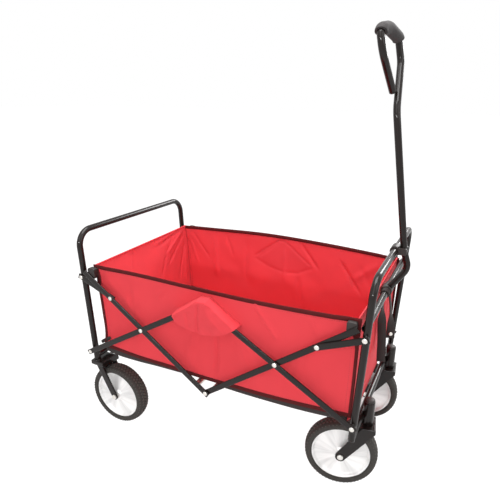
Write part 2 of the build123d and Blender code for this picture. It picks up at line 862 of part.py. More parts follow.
# Fabric tub: end panels, side panels in two halves, pockets over the high centre pivots
panel_in = tub_half_length - cloth / 2
side_in = tub_half_width - cloth / 2
panel_half = side_in - face_gap
side_end = panel_in - face_gap
side_start = side_seam
for name, end in (("rear_panel", -1), ("front_panel", 1)):
    with BuildPart() as panel:
        with Locations((mid_x + end * tub_half_length, 0, (floor_low_z + tub_top_z) / 2)):
            Box(cloth, 2 * panel_half, tub_top_z - floor_low_z)
    save(panel, name)

for end_name, end in (("rear", -1), ("front", 1)):
    for side_name, side in (("right", -1), ("left", 1)):
        with BuildPart() as side_panel:
            side_x = mid_x + end * (side_start + side_end) / 2
            with Locations((side_x, side * tub_half_width, (tub_bottom_z + tub_top_z) / 2)):
                Box(side_end - side_start, cloth, tub_top_z - tub_bottom_z)
        save(side_panel, "side_" + end_name + "_" + side_name)

pocket_face = layer_out[2] + face_gap + rivet_head + 1.0
pocket_hem = [
    (mid_x + pocket_half, pocket_side_z),
    (mid_x + pocket_peak_half, pocket_top_z),
    (mid_x - pocket_peak_half, pocket_top_z),
    (mid_x - pocket_half, pocket_side_z),
]
with BuildPart() as pivot_pockets:
    with BuildSketch(right_plane(cloth_face + face_gap)):
        with BuildLine():
            Polyline((mid_x + pocket_half, pocket_low_z), *pocket_hem, (mid_x - pocket_half, pocket_low_z))
            ThreePointArc(
                (mid_x - pocket_half, pocket_low_z),
                (mid_x, pocket_low_z - pocket_sag),
                (mid_x + pocket_half, pocket_low_z),
            )
        make_face()
    extrude(amount=pocket_face + cloth - cloth_face - face_gap)
    with BuildSketch(right_plane(cloth_face)):
        with BuildLine():
            Polyline(
                (mid_x + 2 * pocket_half, pocket_low_z - 3 * pocket_sag),
                (mid_x + 2 * pocket_half, pocket_side_z - 3 * cloth),
                *[(x, z - 3 * cloth) for x, z in pocket_hem],
                (mid_x - 2 * pocket_half, pocket_side_z - 3 * cloth),
                (mid_x - 2 * pocket_half, pocket_low_z - 3 * pocket_sag),
                close=True,
            )
        make_face()
    extrude(amount=pocket_face - cloth_face, mode=Mode.SUBTRACT)
    mirror(about=Plane.XZ)
save(pivot_pockets, "pivot_pockets")

# Floor boards, hinged with rounded edges at the end panels
board_out = panel_in - face_gap
for name, end in (("rear_floor_board", -1), ("front_floor_board", 1)):
    with BuildPart() as board:
        with BuildSketch(right_plane(-panel_half)):
            board_x = mid_x + end * (board_out + floor_seam / 2) / 2
            with Locations((board_x, tub_bottom_z)):
                SlotOverall(board_out - floor_seam / 2, floor_thick)
        extrude(amount=2 * panel_half)
    save(board, name)

# Straps looped round the handle's cross tube beside its collar
loop_in = tube_radius + face_gap


def add_strap(side, length):
    """Webbing that hangs from its loop and twists to face sideways."""
    strap_y = side * (collar_half + face_gap + strap_width / 2)
    with BuildSketch(right_plane(-strap_y - strap_width / 2)) as loop:
        with Locations(handle_pivot):
            Circle(loop_in + webbing)
            Circle(loop_in, mode=Mode.SUBTRACT)
    extrude(loop.sketch, amount=strap_width)
    sections = []
    for step in range(twist_steps + 1):
        share = step / twist_steps
        drop = loop_in + webbing / 2 + share * strap_twist
        with BuildSketch(Plane(origin=(handle_pivot[0], strap_y, handle_pivot[1] - drop))) as section:
            Rectangle(webbing, strap_width, rotation=90 * share)
        sections.append(section.sketch)
    loft(sections, ruled=True)
    tail = length - loop_in - webbing / 2 - strap_twist
    with Locations((handle_pivot[0], strap_y, handle_pivot[1] - length + tail / 2)):
        Box(strap_width, webbing, tail)


with BuildPart() as front_strap:
    add_strap(-1, front_strap_length)
save(front_strap, "front_strap")

with BuildPart() as hang_strap:
    add_strap(1, hang_strap_length)
save(hang_strap, "hang_strap")
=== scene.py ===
import json
import math

import bpy
import numpy as np
from mathutils import Matrix, Vector


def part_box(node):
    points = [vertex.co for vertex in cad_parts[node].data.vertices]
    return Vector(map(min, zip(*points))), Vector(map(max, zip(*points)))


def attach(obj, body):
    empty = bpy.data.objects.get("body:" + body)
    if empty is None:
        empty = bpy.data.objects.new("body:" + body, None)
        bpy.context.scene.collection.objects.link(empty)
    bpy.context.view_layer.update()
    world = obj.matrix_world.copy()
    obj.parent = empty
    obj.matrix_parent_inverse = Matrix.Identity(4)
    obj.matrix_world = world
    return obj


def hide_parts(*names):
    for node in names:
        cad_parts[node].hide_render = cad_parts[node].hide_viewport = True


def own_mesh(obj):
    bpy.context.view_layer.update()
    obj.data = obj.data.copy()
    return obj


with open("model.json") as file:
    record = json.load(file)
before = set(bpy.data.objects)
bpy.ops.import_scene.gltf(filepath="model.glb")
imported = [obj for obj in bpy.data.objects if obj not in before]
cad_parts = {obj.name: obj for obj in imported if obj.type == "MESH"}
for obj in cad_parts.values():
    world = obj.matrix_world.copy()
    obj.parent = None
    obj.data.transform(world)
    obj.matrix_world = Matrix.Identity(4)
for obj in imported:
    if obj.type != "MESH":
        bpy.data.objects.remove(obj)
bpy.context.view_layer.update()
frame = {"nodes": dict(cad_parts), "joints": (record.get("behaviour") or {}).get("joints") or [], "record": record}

bl_info = {
    "name": "Folding pull wagon",
    "version": (1, 0, 0),
    "blender": (4, 5, 0),
    "location": "View3D > Sidebar > Wagon",
    "description": "Cloth, wheels and finishes of a folding pull wagon on its packed steel frame",
    "category": "Object",
}

MM = 0.001
joints = {joint["name"]: joint for joint in frame["joints"]}
mid_x = joints["centre_pivot"]["pos_m"][0]
side_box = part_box("side_rear_right")
side_y = -(side_box[0].y + side_box[1].y) / 2
tub_low, tub_high = side_box[0].z, side_box[1].z
# How far the tub's top corners are drawn in, to lie under the caps on the braces
corner_inset = 2.8 * MM
# Gap between a cloth's face and the middle of a thread sewn on it
thread_lift = 0.1 * MM


def linear(code):
    """Linear colour of an sRGB hex value."""
    parts = [int(code[i:i + 2], 16) / 255 for i in (0, 2, 4)]
    return tuple(c / 12.92 if c <= 0.04045 else ((c + 0.055) / 1.055) ** 2.4 for c in parts)


def colour(name, description, code):
    return bpy.props.FloatVectorProperty(
        name=name, description=description, default=linear(code), size=3, min=0, max=1, subtype="COLOR"
    )


def length(name, description, millimetres):
    return bpy.props.FloatProperty(
        name=name, description=description, default=millimetres * MM, min=0, subtype="DISTANCE", unit="LENGTH"
    )


class WagonSizes(bpy.types.PropertyGroup):
    """Sizes of the soft pieces and the wheels' details."""

    cloth: length("Cloth", "Thickness of the tub's cloth", 1.2)
    top_binding: length("Top binding", "Width of the tape along the tub's top edges", 10.5)
    edge_binding: length("Edge binding", "Width of the tape along the tub's upright edges", 7.0)
    corner_binding: length("Corner binding", "Width of the upright tape at a top corner", 15.0)
    low_binding: length("Low binding", "Width of the tape along the tub's lower edges", 10.5)
    tape: length("Tape", "Thickness of a binding with the cloth inside it", 3.0)
    stitch_pitch: length("Stitch pitch", "Distance between stitches", 5.0)
    thread: length("Thread", "Thickness of the sewing thread", 0.9)
    hem: length("Hem", "Thickness of the rolled hems on the end panels", 4.0)
    tread_depth: length("Tread depth", "Height of the blocks on a tyre", 1.6)
    webbing: length("Webbing", "Thickness of the straps", 2.0)


class WagonColours(bpy.types.PropertyGroup):
    """Colours of the finishes."""

    cloth: colour("Cloth", "Red polyester of the tub", "E0474F")
    cloth_glow: colour("Cloth glow", "Light that comes through the red polyester", "F26A70")
    binding: colour("Binding", "Tape along the cloth's edges", "50191A")
    webbing: colour("Webbing", "Black straps", "2A2120")
    paint: colour("Paint", "Powder coat on the steel frame", "17100E")
    zinc: colour("Zinc", "Plated rivets and bolts", "E4E0DA")
    disc: colour("Disc", "Silver wheel discs", "F3F2F1")
    tyre: colour("Tyre", "Rubber of the tyres", "413E3B")
    foam: colour("Foam", "Grip on the handle", "40352E")
    plastic: colour("Plastic", "Caps, clip and collar", "241D1B")
    thread: colour("Thread", "Sewing thread on the red cloth", "A82A35")
    floor: colour("Floor", "Studio floor", "F4F4F4")


def sizes():
    return bpy.context.scene.wagon_sizes


def colours():
    return bpy.context.scene.wagon_colours


def add_node(tree, kind, inputs=None, **settings):
    """A node with its settings; inputs maps a socket's name or number to a value or to a link's source."""
    item = tree.nodes.new(kind)
    for key, value in settings.items():
        setattr(item, key, value)
    for key, value in (inputs or {}).items():
        if isinstance(value, bpy.types.NodeSocket):
            tree.links.new(value, item.inputs[key])
        else:
            item.inputs[key].default_value = value
    return item


def maths(tree, operation, *values):
    """Result of a maths node for some values or link sources."""
    inputs = dict(enumerate(values))
    return add_node(tree, "ShaderNodeMath", inputs, operation=operation).outputs[0]


def start_material(name, base, roughness, **sockets):
    """A new material whose shader has its plain values set; gives its tree and shader too."""
    material = bpy.data.materials.new(name)
    material.use_nodes = True
    shader = material.node_tree.nodes["Principled BSDF"]
    shader.inputs["Base Color"].default_value = (*base, 1)
    shader.inputs["Roughness"].default_value = roughness
    for key, value in sockets.items():
        shader.inputs[key.replace("_", " ")].default_value = value
    return material, material.node_tree, shader


def shift_value(tree, shader, source, base, low, high):
    """Lets a pattern from 0 to 1 change the shader's base colour between two brightnesses."""
    ramp = add_node(tree, "ShaderNodeValToRGB", {"Fac": source})
    for element, share in zip(ramp.color_ramp.elements, (low, high)):
        element.color = (*[min(1, c * share) for c in base], 1)
    tree.links.new(ramp.outputs["Color"], shader.inputs["Base Color"])


def raise_surface(tree, shader, source, strength, distance):
    """Lets a pattern from 0 to 1 stand out from the surface."""
    bump = add_node(tree, "ShaderNodeBump", {"Height": source, "Strength": strength, "Distance": distance})
    tree.links.new(bump.outputs["Normal"], shader.inputs["Normal"])


def mix_in(tree, share, shader, other):
    """Gives another shader a share of the material's surface."""
    mix = add_node(tree, "ShaderNodeMixShader", {"Fac": share, 1: shader.outputs[0], 2: other.outputs[0]})
    tree.links.new(mix.outputs[0], tree.nodes["Material Output"].inputs["Surface"])


def spots(tree, size, detail):
    """Soft spots about that size across, fixed to the piece."""
    place = add_node(tree, "ShaderNodeTexCoord").outputs["Object"]
    noise = add_node(tree, "ShaderNodeTexNoise", {"Vector": place, "Scale": 1 / size, "Detail": detail})
    return noise.outputs["Fac"]


def weave(tree, pitch):
    """Crossed threads on the piece's own UV map, which is in metres."""
    # At scale 1, bands repeat every pi / 10
    inputs = {"Vector": add_node(tree, "ShaderNodeTexCoord").outputs["UV"], "Scale": math.pi / 10 / pitch}
    threads = (
        add_node(tree, "ShaderNodeTexWave", inputs, wave_type="BANDS", bands_direction=axis).outputs["Fac"]
        for axis in ("X", "Y")
    )
    return maths(tree, "MAXIMUM", *threads)


def red_polyester():
    """Woven polyester: matt red with a faint sheen; light from behind glows through it a little."""
    base = colours().cloth
    material, tree, shader = start_material(
        "red_polyester", base, 0.62, Specular_IOR_Level=0.07, Sheen_Weight=0.05, Sheen_Roughness=0.45
    )
    # Fading of about 70 mm across keeps large panels from looking flat
    shift_value(tree, shader, spots(tree, 1 / 14, 2.0), base, 0.93, 1.05)
    # The threads are 0.5 mm apart; they are drawn at 2 mm so that they show
    raise_surface(tree, shader, weave(tree, 2 * MM), 0.12, 0.15 * MM)
    glow = add_node(tree, "ShaderNodeBsdfTranslucent", {"Color": (*colours().cloth_glow, 1)})
    mix_in(tree, 0.2, shader, glow)
    return material


def binding_tape():
    """Ribbed nylon tape folded over the cloth's edge: dark maroon and matt."""
    material, tree, shader = start_material("binding_tape", colours().binding, 0.8, Specular_IOR_Level=0.12)
    raise_surface(tree, shader, weave(tree, 1.6 * MM), 0.3, 0.2 * MM)
    return material


def nylon_webbing():
    """Woven nylon strap: black, matt, with coarse ribs across it."""
    material, tree, shader = start_material("nylon_webbing", colours().webbing, 0.72, Specular_IOR_Level=0.35)
    raise_surface(tree, shader, weave(tree, 2.4 * MM), 0.4, 0.3 * MM)
    return material


def powder_coat():
    """Powder-coated steel: dark brown-black, semi-gloss, with a faint orange peel."""
    material, tree, shader = start_material(
        "powder_coat", colours().paint, 0.45, Specular_IOR_Level=0.05, Coat_Weight=0.5, Coat_Roughness=0.09
    )
    # Orange peel is about 1.5 mm across
    raise_surface(tree, shader, spots(tree, 1.5 * MM, 1.0), 0.08, 0.1 * MM)
    # The bars are rolled with soft edges, which catch the light as thin lines
    rounded = add_node(tree, "ShaderNodeBevel", {"Radius": 5 * MM}, samples=8)
    tree.links.new(rounded.outputs["Normal"], shader.inputs["Coat Normal"])
    return material


def zinc_plate():
    """Zinc-plated steel: bright, slightly clouded metal."""
    base = colours().zinc
    material, tree, shader = start_material("zinc_plate", base, 0.3, Metallic=1.0)
    # Clouds in the plating are about 4 mm across
    shift_value(tree, shader, spots(tree, 4 * MM, 2.0), base, 0.86, 1.0)
    return material


def silver_lacquer():
    """Silver lacquer on a pressed disc: pale, with painted sheen: soft paler and darker streaks in its colour that
    run out from the hub, in place of the reflection of a spun finish.
    """
    base = colours().disc
    material, tree, shader = start_material("silver_lacquer", base, 0.38, Metallic=0.35, Specular_IOR_Level=0.5)
    place = add_node(tree, "ShaderNodeTexCoord").outputs["UV"]
    # Painted sheen: the map's first axis goes once round the disc, so the painted streaks are about a ninth of a
    # turn wide
    stretched = add_node(tree, "ShaderNodeMapping", {"Vector": place, "Scale": (9.0, 4.0, 1.0)}).outputs[0]
    painted_sheen_streaks = add_node(
        tree, "ShaderNodeTexNoise", {"Vector": stretched, "Scale": 1.0, "Detail": 3.0, "Roughness": 0.6}
    ).outputs["Fac"]
    spread = add_node(tree, "ShaderNodeMapRange", {"Value": painted_sheen_streaks, "From Min": 0.3, "From Max": 0.62})
    # The painted sheen streaks darken and brighten the silver base colour
    shift_value(tree, shader, spread.outputs[0], base, 0.66, 1.06)
    return material


def tyre_rubber():
    """Moulded rubber: dark grey-brown, matt, with spots of dust; the tread blocks are drawn paler than the rubber
    between them.
    """
    base = colours().tyre
    material, tree, shader = start_material("tyre_rubber", base, 0.82, Specular_IOR_Level=0.3)
    # Dust spots are about 6 mm across
    dust = spots(tree, 6 * MM, 3.0)
    # The tread's blocks are marked; they are drawn paler than the rubber between them
    worn = add_node(tree, "ShaderNodeAttribute", attribute_name="worn").outputs["Fac"]
    pale = maths(tree, "MULTIPLY_ADD", dust, 0.4, maths(tree, "MULTIPLY", worn, 0.6))
    shift_value(tree, shader, pale, base, 0.55, 1.9)
    return material


def grip_foam():
    """Closed-cell foam: grey-brown, soft and matt, with small pores."""
    material, tree, shader = start_material("grip_foam", colours().foam, 0.9, Specular_IOR_Level=0.25)
    place = add_node(tree, "ShaderNodeTexCoord").outputs["Object"]
    # Pores are about 0.8 mm; they are drawn at 1.6 mm so that they show
    pores = add_node(tree, "ShaderNodeTexVoronoi", {"Vector": place, "Scale": 1 / (1.6 * MM)})
    raise_surface(tree, shader, pores.outputs["Distance"], 0.35, 0.3 * MM)
    return material


def moulded_plastic():
    """Moulded nylon: black with a fine grain."""
    material, tree, shader = start_material("moulded_plastic", colours().plastic, 0.48, Specular_IOR_Level=0.45)
    # The grain is about 0.9 mm
    raise_surface(tree, shader, spots(tree, 0.9 * MM, 1.0), 0.1, 0.1 * MM)
    return material


def sewing_thread():
    """Twisted polyester thread: darker red than the cloth."""
    return start_material("sewing_thread", colours().thread, 0.55, Sheen_Weight=0.1)[0]


finish_makers = {
    maker.__name__: maker
    for maker in (
        red_polyester, binding_tape, nylon_webbing, powder_coat, zinc_plate,
        silver_lacquer, tyre_rubber, grip_foam, moulded_plastic, sewing_thread,
    )
}


def finish(name):
    """The material of that name, made when it is first asked for."""
    return bpy.data.materials.get(name) or finish_makers[name]()


def add_object(name, data):
    item = bpy.data.objects.new(name, data)
    bpy.context.scene.collection.objects.link(item)
    return item


def mesh_piece(name, points, faces, uv, material):
    """A smooth piece with one UV map; uv holds a pair for each corner of each face."""
    mesh = bpy.data.meshes.new(name)
    mesh.from_pydata([tuple(p) for p in points], [], [tuple(f) for f in faces])
    layer = mesh.uv_layers.new(name="UVMap")
    layer.data.foreach_set("uv", np.asarray(uv, np.float32).ravel())
    mesh.polygons.foreach_set("use_smooth", [True] * len(mesh.polygons))
    mesh.validate()
    mesh.update()
    mesh.materials.append(finish(material))
    return add_object(name, mesh)


def unit_steps(grid, axis):
    step = np.gradient(grid, axis=axis)
    return step / np.linalg.norm(step, axis=2, keepdims=True)


def grid_normals(grid):
    normal = np.cross(np.gradient(grid, axis=1), np.gradient(grid, axis=0))
    return normal / np.linalg.norm(normal, axis=2, keepdims=True)


def quads_of(number):
    """Faces between the rows and columns of a grid of vertex numbers."""
    corners = [number[:-1, :-1], number[:-1, 1:], number[1:, 1:], number[1:, :-1]]
    return np.stack(corners, axis=2).reshape(-1, 4)


def running_sum(steps):
    return np.concatenate([[0], np.cumsum(steps)])


def cloth_sheet(name, grid):
    """A closed thin sheet over a grid of points (rows, columns, 3), half its thickness to each side."""
    rows, columns, _ = grid.shape
    normal = grid_normals(grid) * sizes().cloth / 2
    points = np.concatenate([(grid + normal).reshape(-1, 3), (grid - normal).reshape(-1, 3)])
    u = running_sum(np.linalg.norm(np.diff(grid, axis=1), axis=2).mean(axis=0))
    v = running_sum(np.linalg.norm(np.diff(grid, axis=0), axis=2).mean(axis=1))
    flat = np.tile(np.stack(np.meshgrid(u, v), axis=2).reshape(-1, 2), (2, 1))
    number = np.arange(rows * columns).reshape(rows, columns)
    back = rows * columns
    quads = quads_of(number)
    rim = np.concatenate([number[0, :], number[1:, -1], number[-1, -2::-1], number[-2::-1, 0]])
    rim_quads = np.stack([rim[1:], rim[:-1], rim[:-1] + back, rim[1:] + back], axis=1)
    faces = np.concatenate([quads, quads[:, ::-1] + back, rim_quads])
    return mesh_piece(name, points, faces, flat[faces.ravel()], "red_polyester")


def lofted(name, rings, material, closed=False):
    """A skin over rings of points (count, ring, 3), faces outwards; an open loft gets flat ends."""
    count, ring, _ = rings.shape
    along = running_sum(np.linalg.norm(np.diff(rings, axis=0), axis=2).mean(axis=1))
    around = running_sum(np.linalg.norm(np.diff(rings[0], axis=0), axis=1))
    along = np.append(along, along[-1] + np.linalg.norm(rings[0] - rings[-1], axis=1).mean())
    around = np.append(around, around[-1] + np.linalg.norm(rings[0, 0] - rings[0, -1]))
    faces, uv = [], []
    for i in range(count if closed else count - 1):
        k = (i + 1) % count
        for j in range(ring):
            m = (j + 1) % ring
            faces.append((i * ring + j, i * ring + m, k * ring + m, k * ring + j))
            uv += [(along[a], around[b]) for a, b in ((i, j), (i, j + 1), (i + 1, j + 1), (i + 1, j))]
    if not closed:
        for end in (0, count - 1):
            loop = [end * ring + j for j in range(ring)]
            faces.append(loop[::-1] if end == 0 else loop)
            uv += [(along[end], around[j]) for j in range(ring)]
    return face_outward(mesh_piece(name, rings.reshape(-1, 3), faces, uv, material))


def face_outward(piece):
    """Turns the faces of a closed mesh outwards if its volume comes out negative."""
    mesh = piece.data
    mesh.calc_loop_triangles()
    corner = np.array([v.co for v in mesh.vertices])
    triangle = np.array([t.vertices for t in mesh.loop_triangles])
    a, b, c = (corner[triangle[:, k]] for k in range(3))
    if np.einsum("ij,ij->i", a, np.cross(b, c)).sum() < 0:
        mesh.flip_normals()
    return piece


def turned(profile, centre, axis, first, steps):
    """Points of a profile of (radius, height) pairs turned about an axis, as (profile, steps, 3)."""
    axis, first = np.array(axis), np.array(first)
    radius, height = np.array(profile).T[:, :, None, None]
    angle = np.linspace(0, math.tau, steps, endpoint=False)[:, None]
    out = np.cos(angle) * first + np.sin(angle) * np.cross(axis, first)
    return np.array(centre) + height * axis + radius * out


def tape_section(width, thickness):
    """Oblong section with cut corners as pairs (across, out), counter-clockwise."""
    corner_share = 0.3
    cut = min(width, thickness) * corner_share
    w, t = width / 2, thickness / 2
    return [
        (-w + cut, -t), (w - cut, -t), (w, -t + cut), (w, t - cut),
        (w - cut, t), (-w + cut, t), (-w, t - cut), (-w, -t + cut),
    ]


def tape_along(name, path, across, out, width, thickness, material):
    """A tape along a path; across and out are the directions of its width and thickness."""
    across, out = (np.broadcast_to(way, path.shape) for way in (across, out))
    widest = float(np.max(width))
    section = np.array(tape_section(widest, thickness))
    share = np.broadcast_to(np.asarray(width) / widest, len(path))[:, None, None]
    wide = across[:, None, :] * section[None, :, :1] * share
    thick = out[:, None, :] * section[None, :, 1:]
    return lofted(name, path[:, None, :] + wide + thick, material)


def start_tree(name, sockets):
    """A geometry node tree with a mesh in and out and the named inputs, each with its type."""
    tree = bpy.data.node_groups.new(name, "GeometryNodeTree")
    for way in ("INPUT", "OUTPUT"):
        tree.interface.new_socket("Geometry", in_out=way, socket_type="NodeSocketGeometry")
    for label, kind in sockets.items():
        tree.interface.new_socket(label, in_out="INPUT", socket_type="NodeSocket" + kind)
    return tree, add_node(tree, "NodeGroupInput").outputs, add_node(tree, "NodeGroupOutput")


def close_tree(tree, geometry, material, out):
    real = add_node(tree, "GeometryNodeRealizeInstances", {"Geometry": geometry})
    painted = add_node(tree, "GeometryNodeSetMaterial", {"Geometry": real.outputs[0], "Material": material})
    tree.links.new(painted.outputs[0], out.inputs[0])


def grow(piece, tree, values):
    """Turns a piece with a node tree on it into the plain mesh that the tree gives."""
    modifier = piece.modifiers.new(tree.name, "NODES")
    modifier.node_group = tree
    for item in tree.interface.items_tree:
        if item.item_type == "SOCKET" and item.in_out == "INPUT" and item.name in values:
            modifier[item.identifier] = values[item.name]
    bpy.context.view_layer.update()
    evaluated = piece.evaluated_get(bpy.context.evaluated_depsgraph_get())
    mesh = bpy.data.meshes.new_from_object(evaluated)
    piece.modifiers.remove(modifier)
    piece.data = mesh
    return piece


def stitch_tree():
    """Stitches: short thread beads along every line of a mesh of edges."""
    tree = bpy.data.node_groups.get("StitchRow")
    if tree:
        return tree
    tree, given, out = start_tree("StitchRow", {"Pitch": "Float", "Bead": "Vector", "Thread": "Material"})
    line = add_node(tree, "GeometryNodeMeshToCurve", {"Mesh": given["Geometry"]}).outputs[0]
    spaced = add_node(
        tree, "GeometryNodeResampleCurve", {"Curve": line, "Length": given["Pitch"]}, mode="LENGTH"
    )
    tangent = add_node(tree, "GeometryNodeInputTangent").outputs[0]
    turn = add_node(tree, "FunctionNodeAlignRotationToVector", {"Vector": tangent}, axis="X").outputs[0]
    ball = {"Segments": 6, "Rings": 4, "Radius": 0.5}
    bead = add_node(tree, "GeometryNodeMeshUVSphere", ball).outputs["Mesh"]
    inputs = {"Points": spaced.outputs[0], "Instance": bead, "Rotation": turn, "Scale": given["Bead"]}
    beads = add_node(tree, "GeometryNodeInstanceOnPoints", inputs)
    close_tree(tree, beads.outputs[0], given["Thread"], out)
    return tree


def stitches(name, lines):
    """Rows of stitches along lines of points."""
    points, edges = [], []
    for line in lines:
        first = len(points)
        points += [tuple(p) for p in line]
        edges += [(first + i, first + i + 1) for i in range(len(line) - 1)]
    mesh = bpy.data.meshes.new(name)
    mesh.from_pydata(points, edges, [])
    pitch, thread = sizes().stitch_pitch, sizes().thread
    values = {"Pitch": pitch, "Bead": (pitch * 0.66, thread, thread), "Thread": finish("sewing_thread")}
    return grow(add_object(name, mesh), stitch_tree(), values)


def tread_tree():
    """Slanted blocks in rows round a tyre, added to the tyre's own mesh."""
    tree = bpy.data.node_groups.get("TreadBlocks")
    if tree:
        return tree
    tree, given, out = start_tree(
        "TreadBlocks",
        {
            "Blocks": "Int", "Rows": "Int", "Radius": "Float", "Row Pitch": "Float", "Row Fall": "Float",
            "Block": "Vector", "Slant": "Float", "Turn": "Float", "Centre": "Vector", "Rubber": "Material",
        },
    )

    def calc(operation, *values):
        return maths(tree, operation, *values)

    def rotation(axis, angle):
        euler = add_node(tree, "ShaderNodeCombineXYZ", {axis: angle}).outputs[0]
        return add_node(tree, "FunctionNodeEulerToRotation", {"Euler": euler}).outputs[0]

    blocks, rows = given["Blocks"], given["Rows"]
    count = calc("MULTIPLY", blocks, rows)
    points = add_node(tree, "GeometryNodeMeshLine", {"Count": count, "Offset": (0, 0, 0)}).outputs[0]
    index = add_node(tree, "GeometryNodeInputIndex").outputs[0]
    row = calc("FLOOR", calc("DIVIDE", index, blocks))
    # Every other row stands half a block further round and slants the other way
    odd = calc("MODULO", row, 2.0)
    step = calc("DIVIDE", math.tau, blocks)
    angle = calc("MULTIPLY", calc("ADD", index, calc("MULTIPLY", odd, 0.5)), step)
    lean = calc("MULTIPLY", calc("SUBTRACT", calc("MULTIPLY", odd, 2.0), 1.0), given["Slant"])
    centred = calc("SUBTRACT", row, calc("MULTIPLY", calc("SUBTRACT", rows, 1.0), 0.5))
    # Rows away from the middle sit lower, on the tyre's rounded shoulders
    fall = calc("MULTIPLY", calc("POWER", calc("ABSOLUTE", centred), 2.0), given["Row Fall"])
    radius = calc("SUBTRACT", given["Radius"], fall)
    place = {
        0: calc("MULTIPLY", radius, calc("COSINE", angle)),
        1: calc("MULTIPLY", centred, given["Row Pitch"]),
        2: calc("MULTIPLY", radius, calc("SINE", angle)),
    }
    place = add_node(tree, "ShaderNodeCombineXYZ", place).outputs[0]
    spread = add_node(tree, "GeometryNodeSetPosition", {"Geometry": points, "Position": place}).outputs[0]
    facing = {"Rotation": rotation(0, lean), "Rotate By": rotation(1, calc("MULTIPLY", angle, -1.0))}
    facing = add_node(tree, "FunctionNodeRotateRotation", facing, rotation_space="GLOBAL").outputs[0]
    cube = add_node(tree, "GeometryNodeMeshCube", {"Size": given["Block"]}).outputs["Mesh"]
    # Each block carries a mark that makes the tyre's colour paler on it
    worn = {"Geometry": cube, "Name": "worn", "Value": 1.0}
    block = add_node(tree, "GeometryNodeStoreNamedAttribute", worn, data_type="FLOAT", domain="POINT")
    ring = {"Points": spread, "Instance": block.outputs[0], "Rotation": facing}
    ring = add_node(tree, "GeometryNodeInstanceOnPoints", ring).outputs[0]
    moved = {"Geometry": ring, "Translation": given["Centre"], "Rotation": rotation(2, given["Turn"])}
    both = add_node(tree, "GeometryNodeJoinGeometry", {0: given["Geometry"]})
    tree.links.new(add_node(tree, "GeometryNodeTransform", moved).outputs[0], both.inputs[0])
    close_tree(tree, both.outputs[0], given["Rubber"], out)
    return tree


def wheels():
    """Body, tyre, rim, centre and heading of each wheel."""
    for name, joint in joints.items():
        if name.endswith("_spin"):
            body, axis = joint["child"], joint["axis"]
            tyre, rim = (body.replace("wheel", kind) for kind in ("tyre", "rim"))
            yield body, tyre, rim, Vector(joint["pos_m"]), math.atan2(-axis[0], axis[1])


def wheel_rings(half, centre, heading, steps):
    """Rings round a wheel's axle of a profile that is given on one side of the wheel's middle."""
    profile = half + [(radius, -across) for radius, across in reversed(half)]
    c, s = math.cos(heading), math.sin(heading)
    return turned(profile, centre, (-s, c, 0), (c, s, 0), steps).transpose(1, 0, 2)


class WAGON_OT_metal(bpy.types.Operator):
    """Finishes the steel, plated and plastic pieces of the frame"""

    bl_idname = "wagon.metal"
    bl_label = "Frame finishes"

    def execute(self, context):
        finishes = {
            "frame_paint": "powder_coat",
            "steel": "zinc_plate",
            "grip_foam": "grip_foam",
            "black_plastic": "moulded_plastic",
            "black_webbing": "nylon_webbing",
            "red_cloth": "red_polyester",
            "tyre": "tyre_rubber",
            "wheel_disc": "silver_lacquer",
        }
        for part in frame["record"]["subparts"]:
            node = frame["nodes"][part["node"]]
            node.data.materials.clear()
            node.data.materials.append(finish(finishes[part["material_slot"]]))
        return {"FINISHED"}


class WAGON_OT_tyres(bpy.types.Operator):
    """Makes the tyres with their slanted tread blocks"""

    bl_idname = "wagon.tyres"
    bl_label = "Tyres"

    def execute(self, context):
        depth = sizes().tread_depth
        for body, node, _, centre, heading in wheels():
            low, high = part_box(node)
            outer = (high.z - low.z) / 2
            seat, half, shoulder = outer - 17.0 * MM, 19.6 * MM, outer - depth
            # From the bead over the side wall to the tread
            profile = [
                (seat, half - 2 * MM), (seat + 1.5 * MM, half), (shoulder - 7 * MM, half),
                (shoulder - 3.4 * MM, half - 1.6 * MM), (shoulder - 1.2 * MM, half - 4.6 * MM),
                (shoulder, half - 9 * MM),
            ]
            rings = wheel_rings(profile, centre, heading, 120)
            tyre = lofted(body.replace("wheel", "tread"), rings, "tyre_rubber", closed=True)
            values = {
                "Blocks": 58, "Rows": 5, "Radius": shoulder + 0.2 * MM, "Row Pitch": 7.4 * MM,
                "Row Fall": 1.1 * MM, "Block": (2 * depth, 6.2 * MM, 5.0 * MM), "Slant": math.radians(28),
                "Turn": heading, "Centre": tuple(centre), "Rubber": finish("tyre_rubber"),
            }
            grow(tyre, tread_tree(), values)
            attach(tyre, body)
            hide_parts(node)
        return {"FINISHED"}


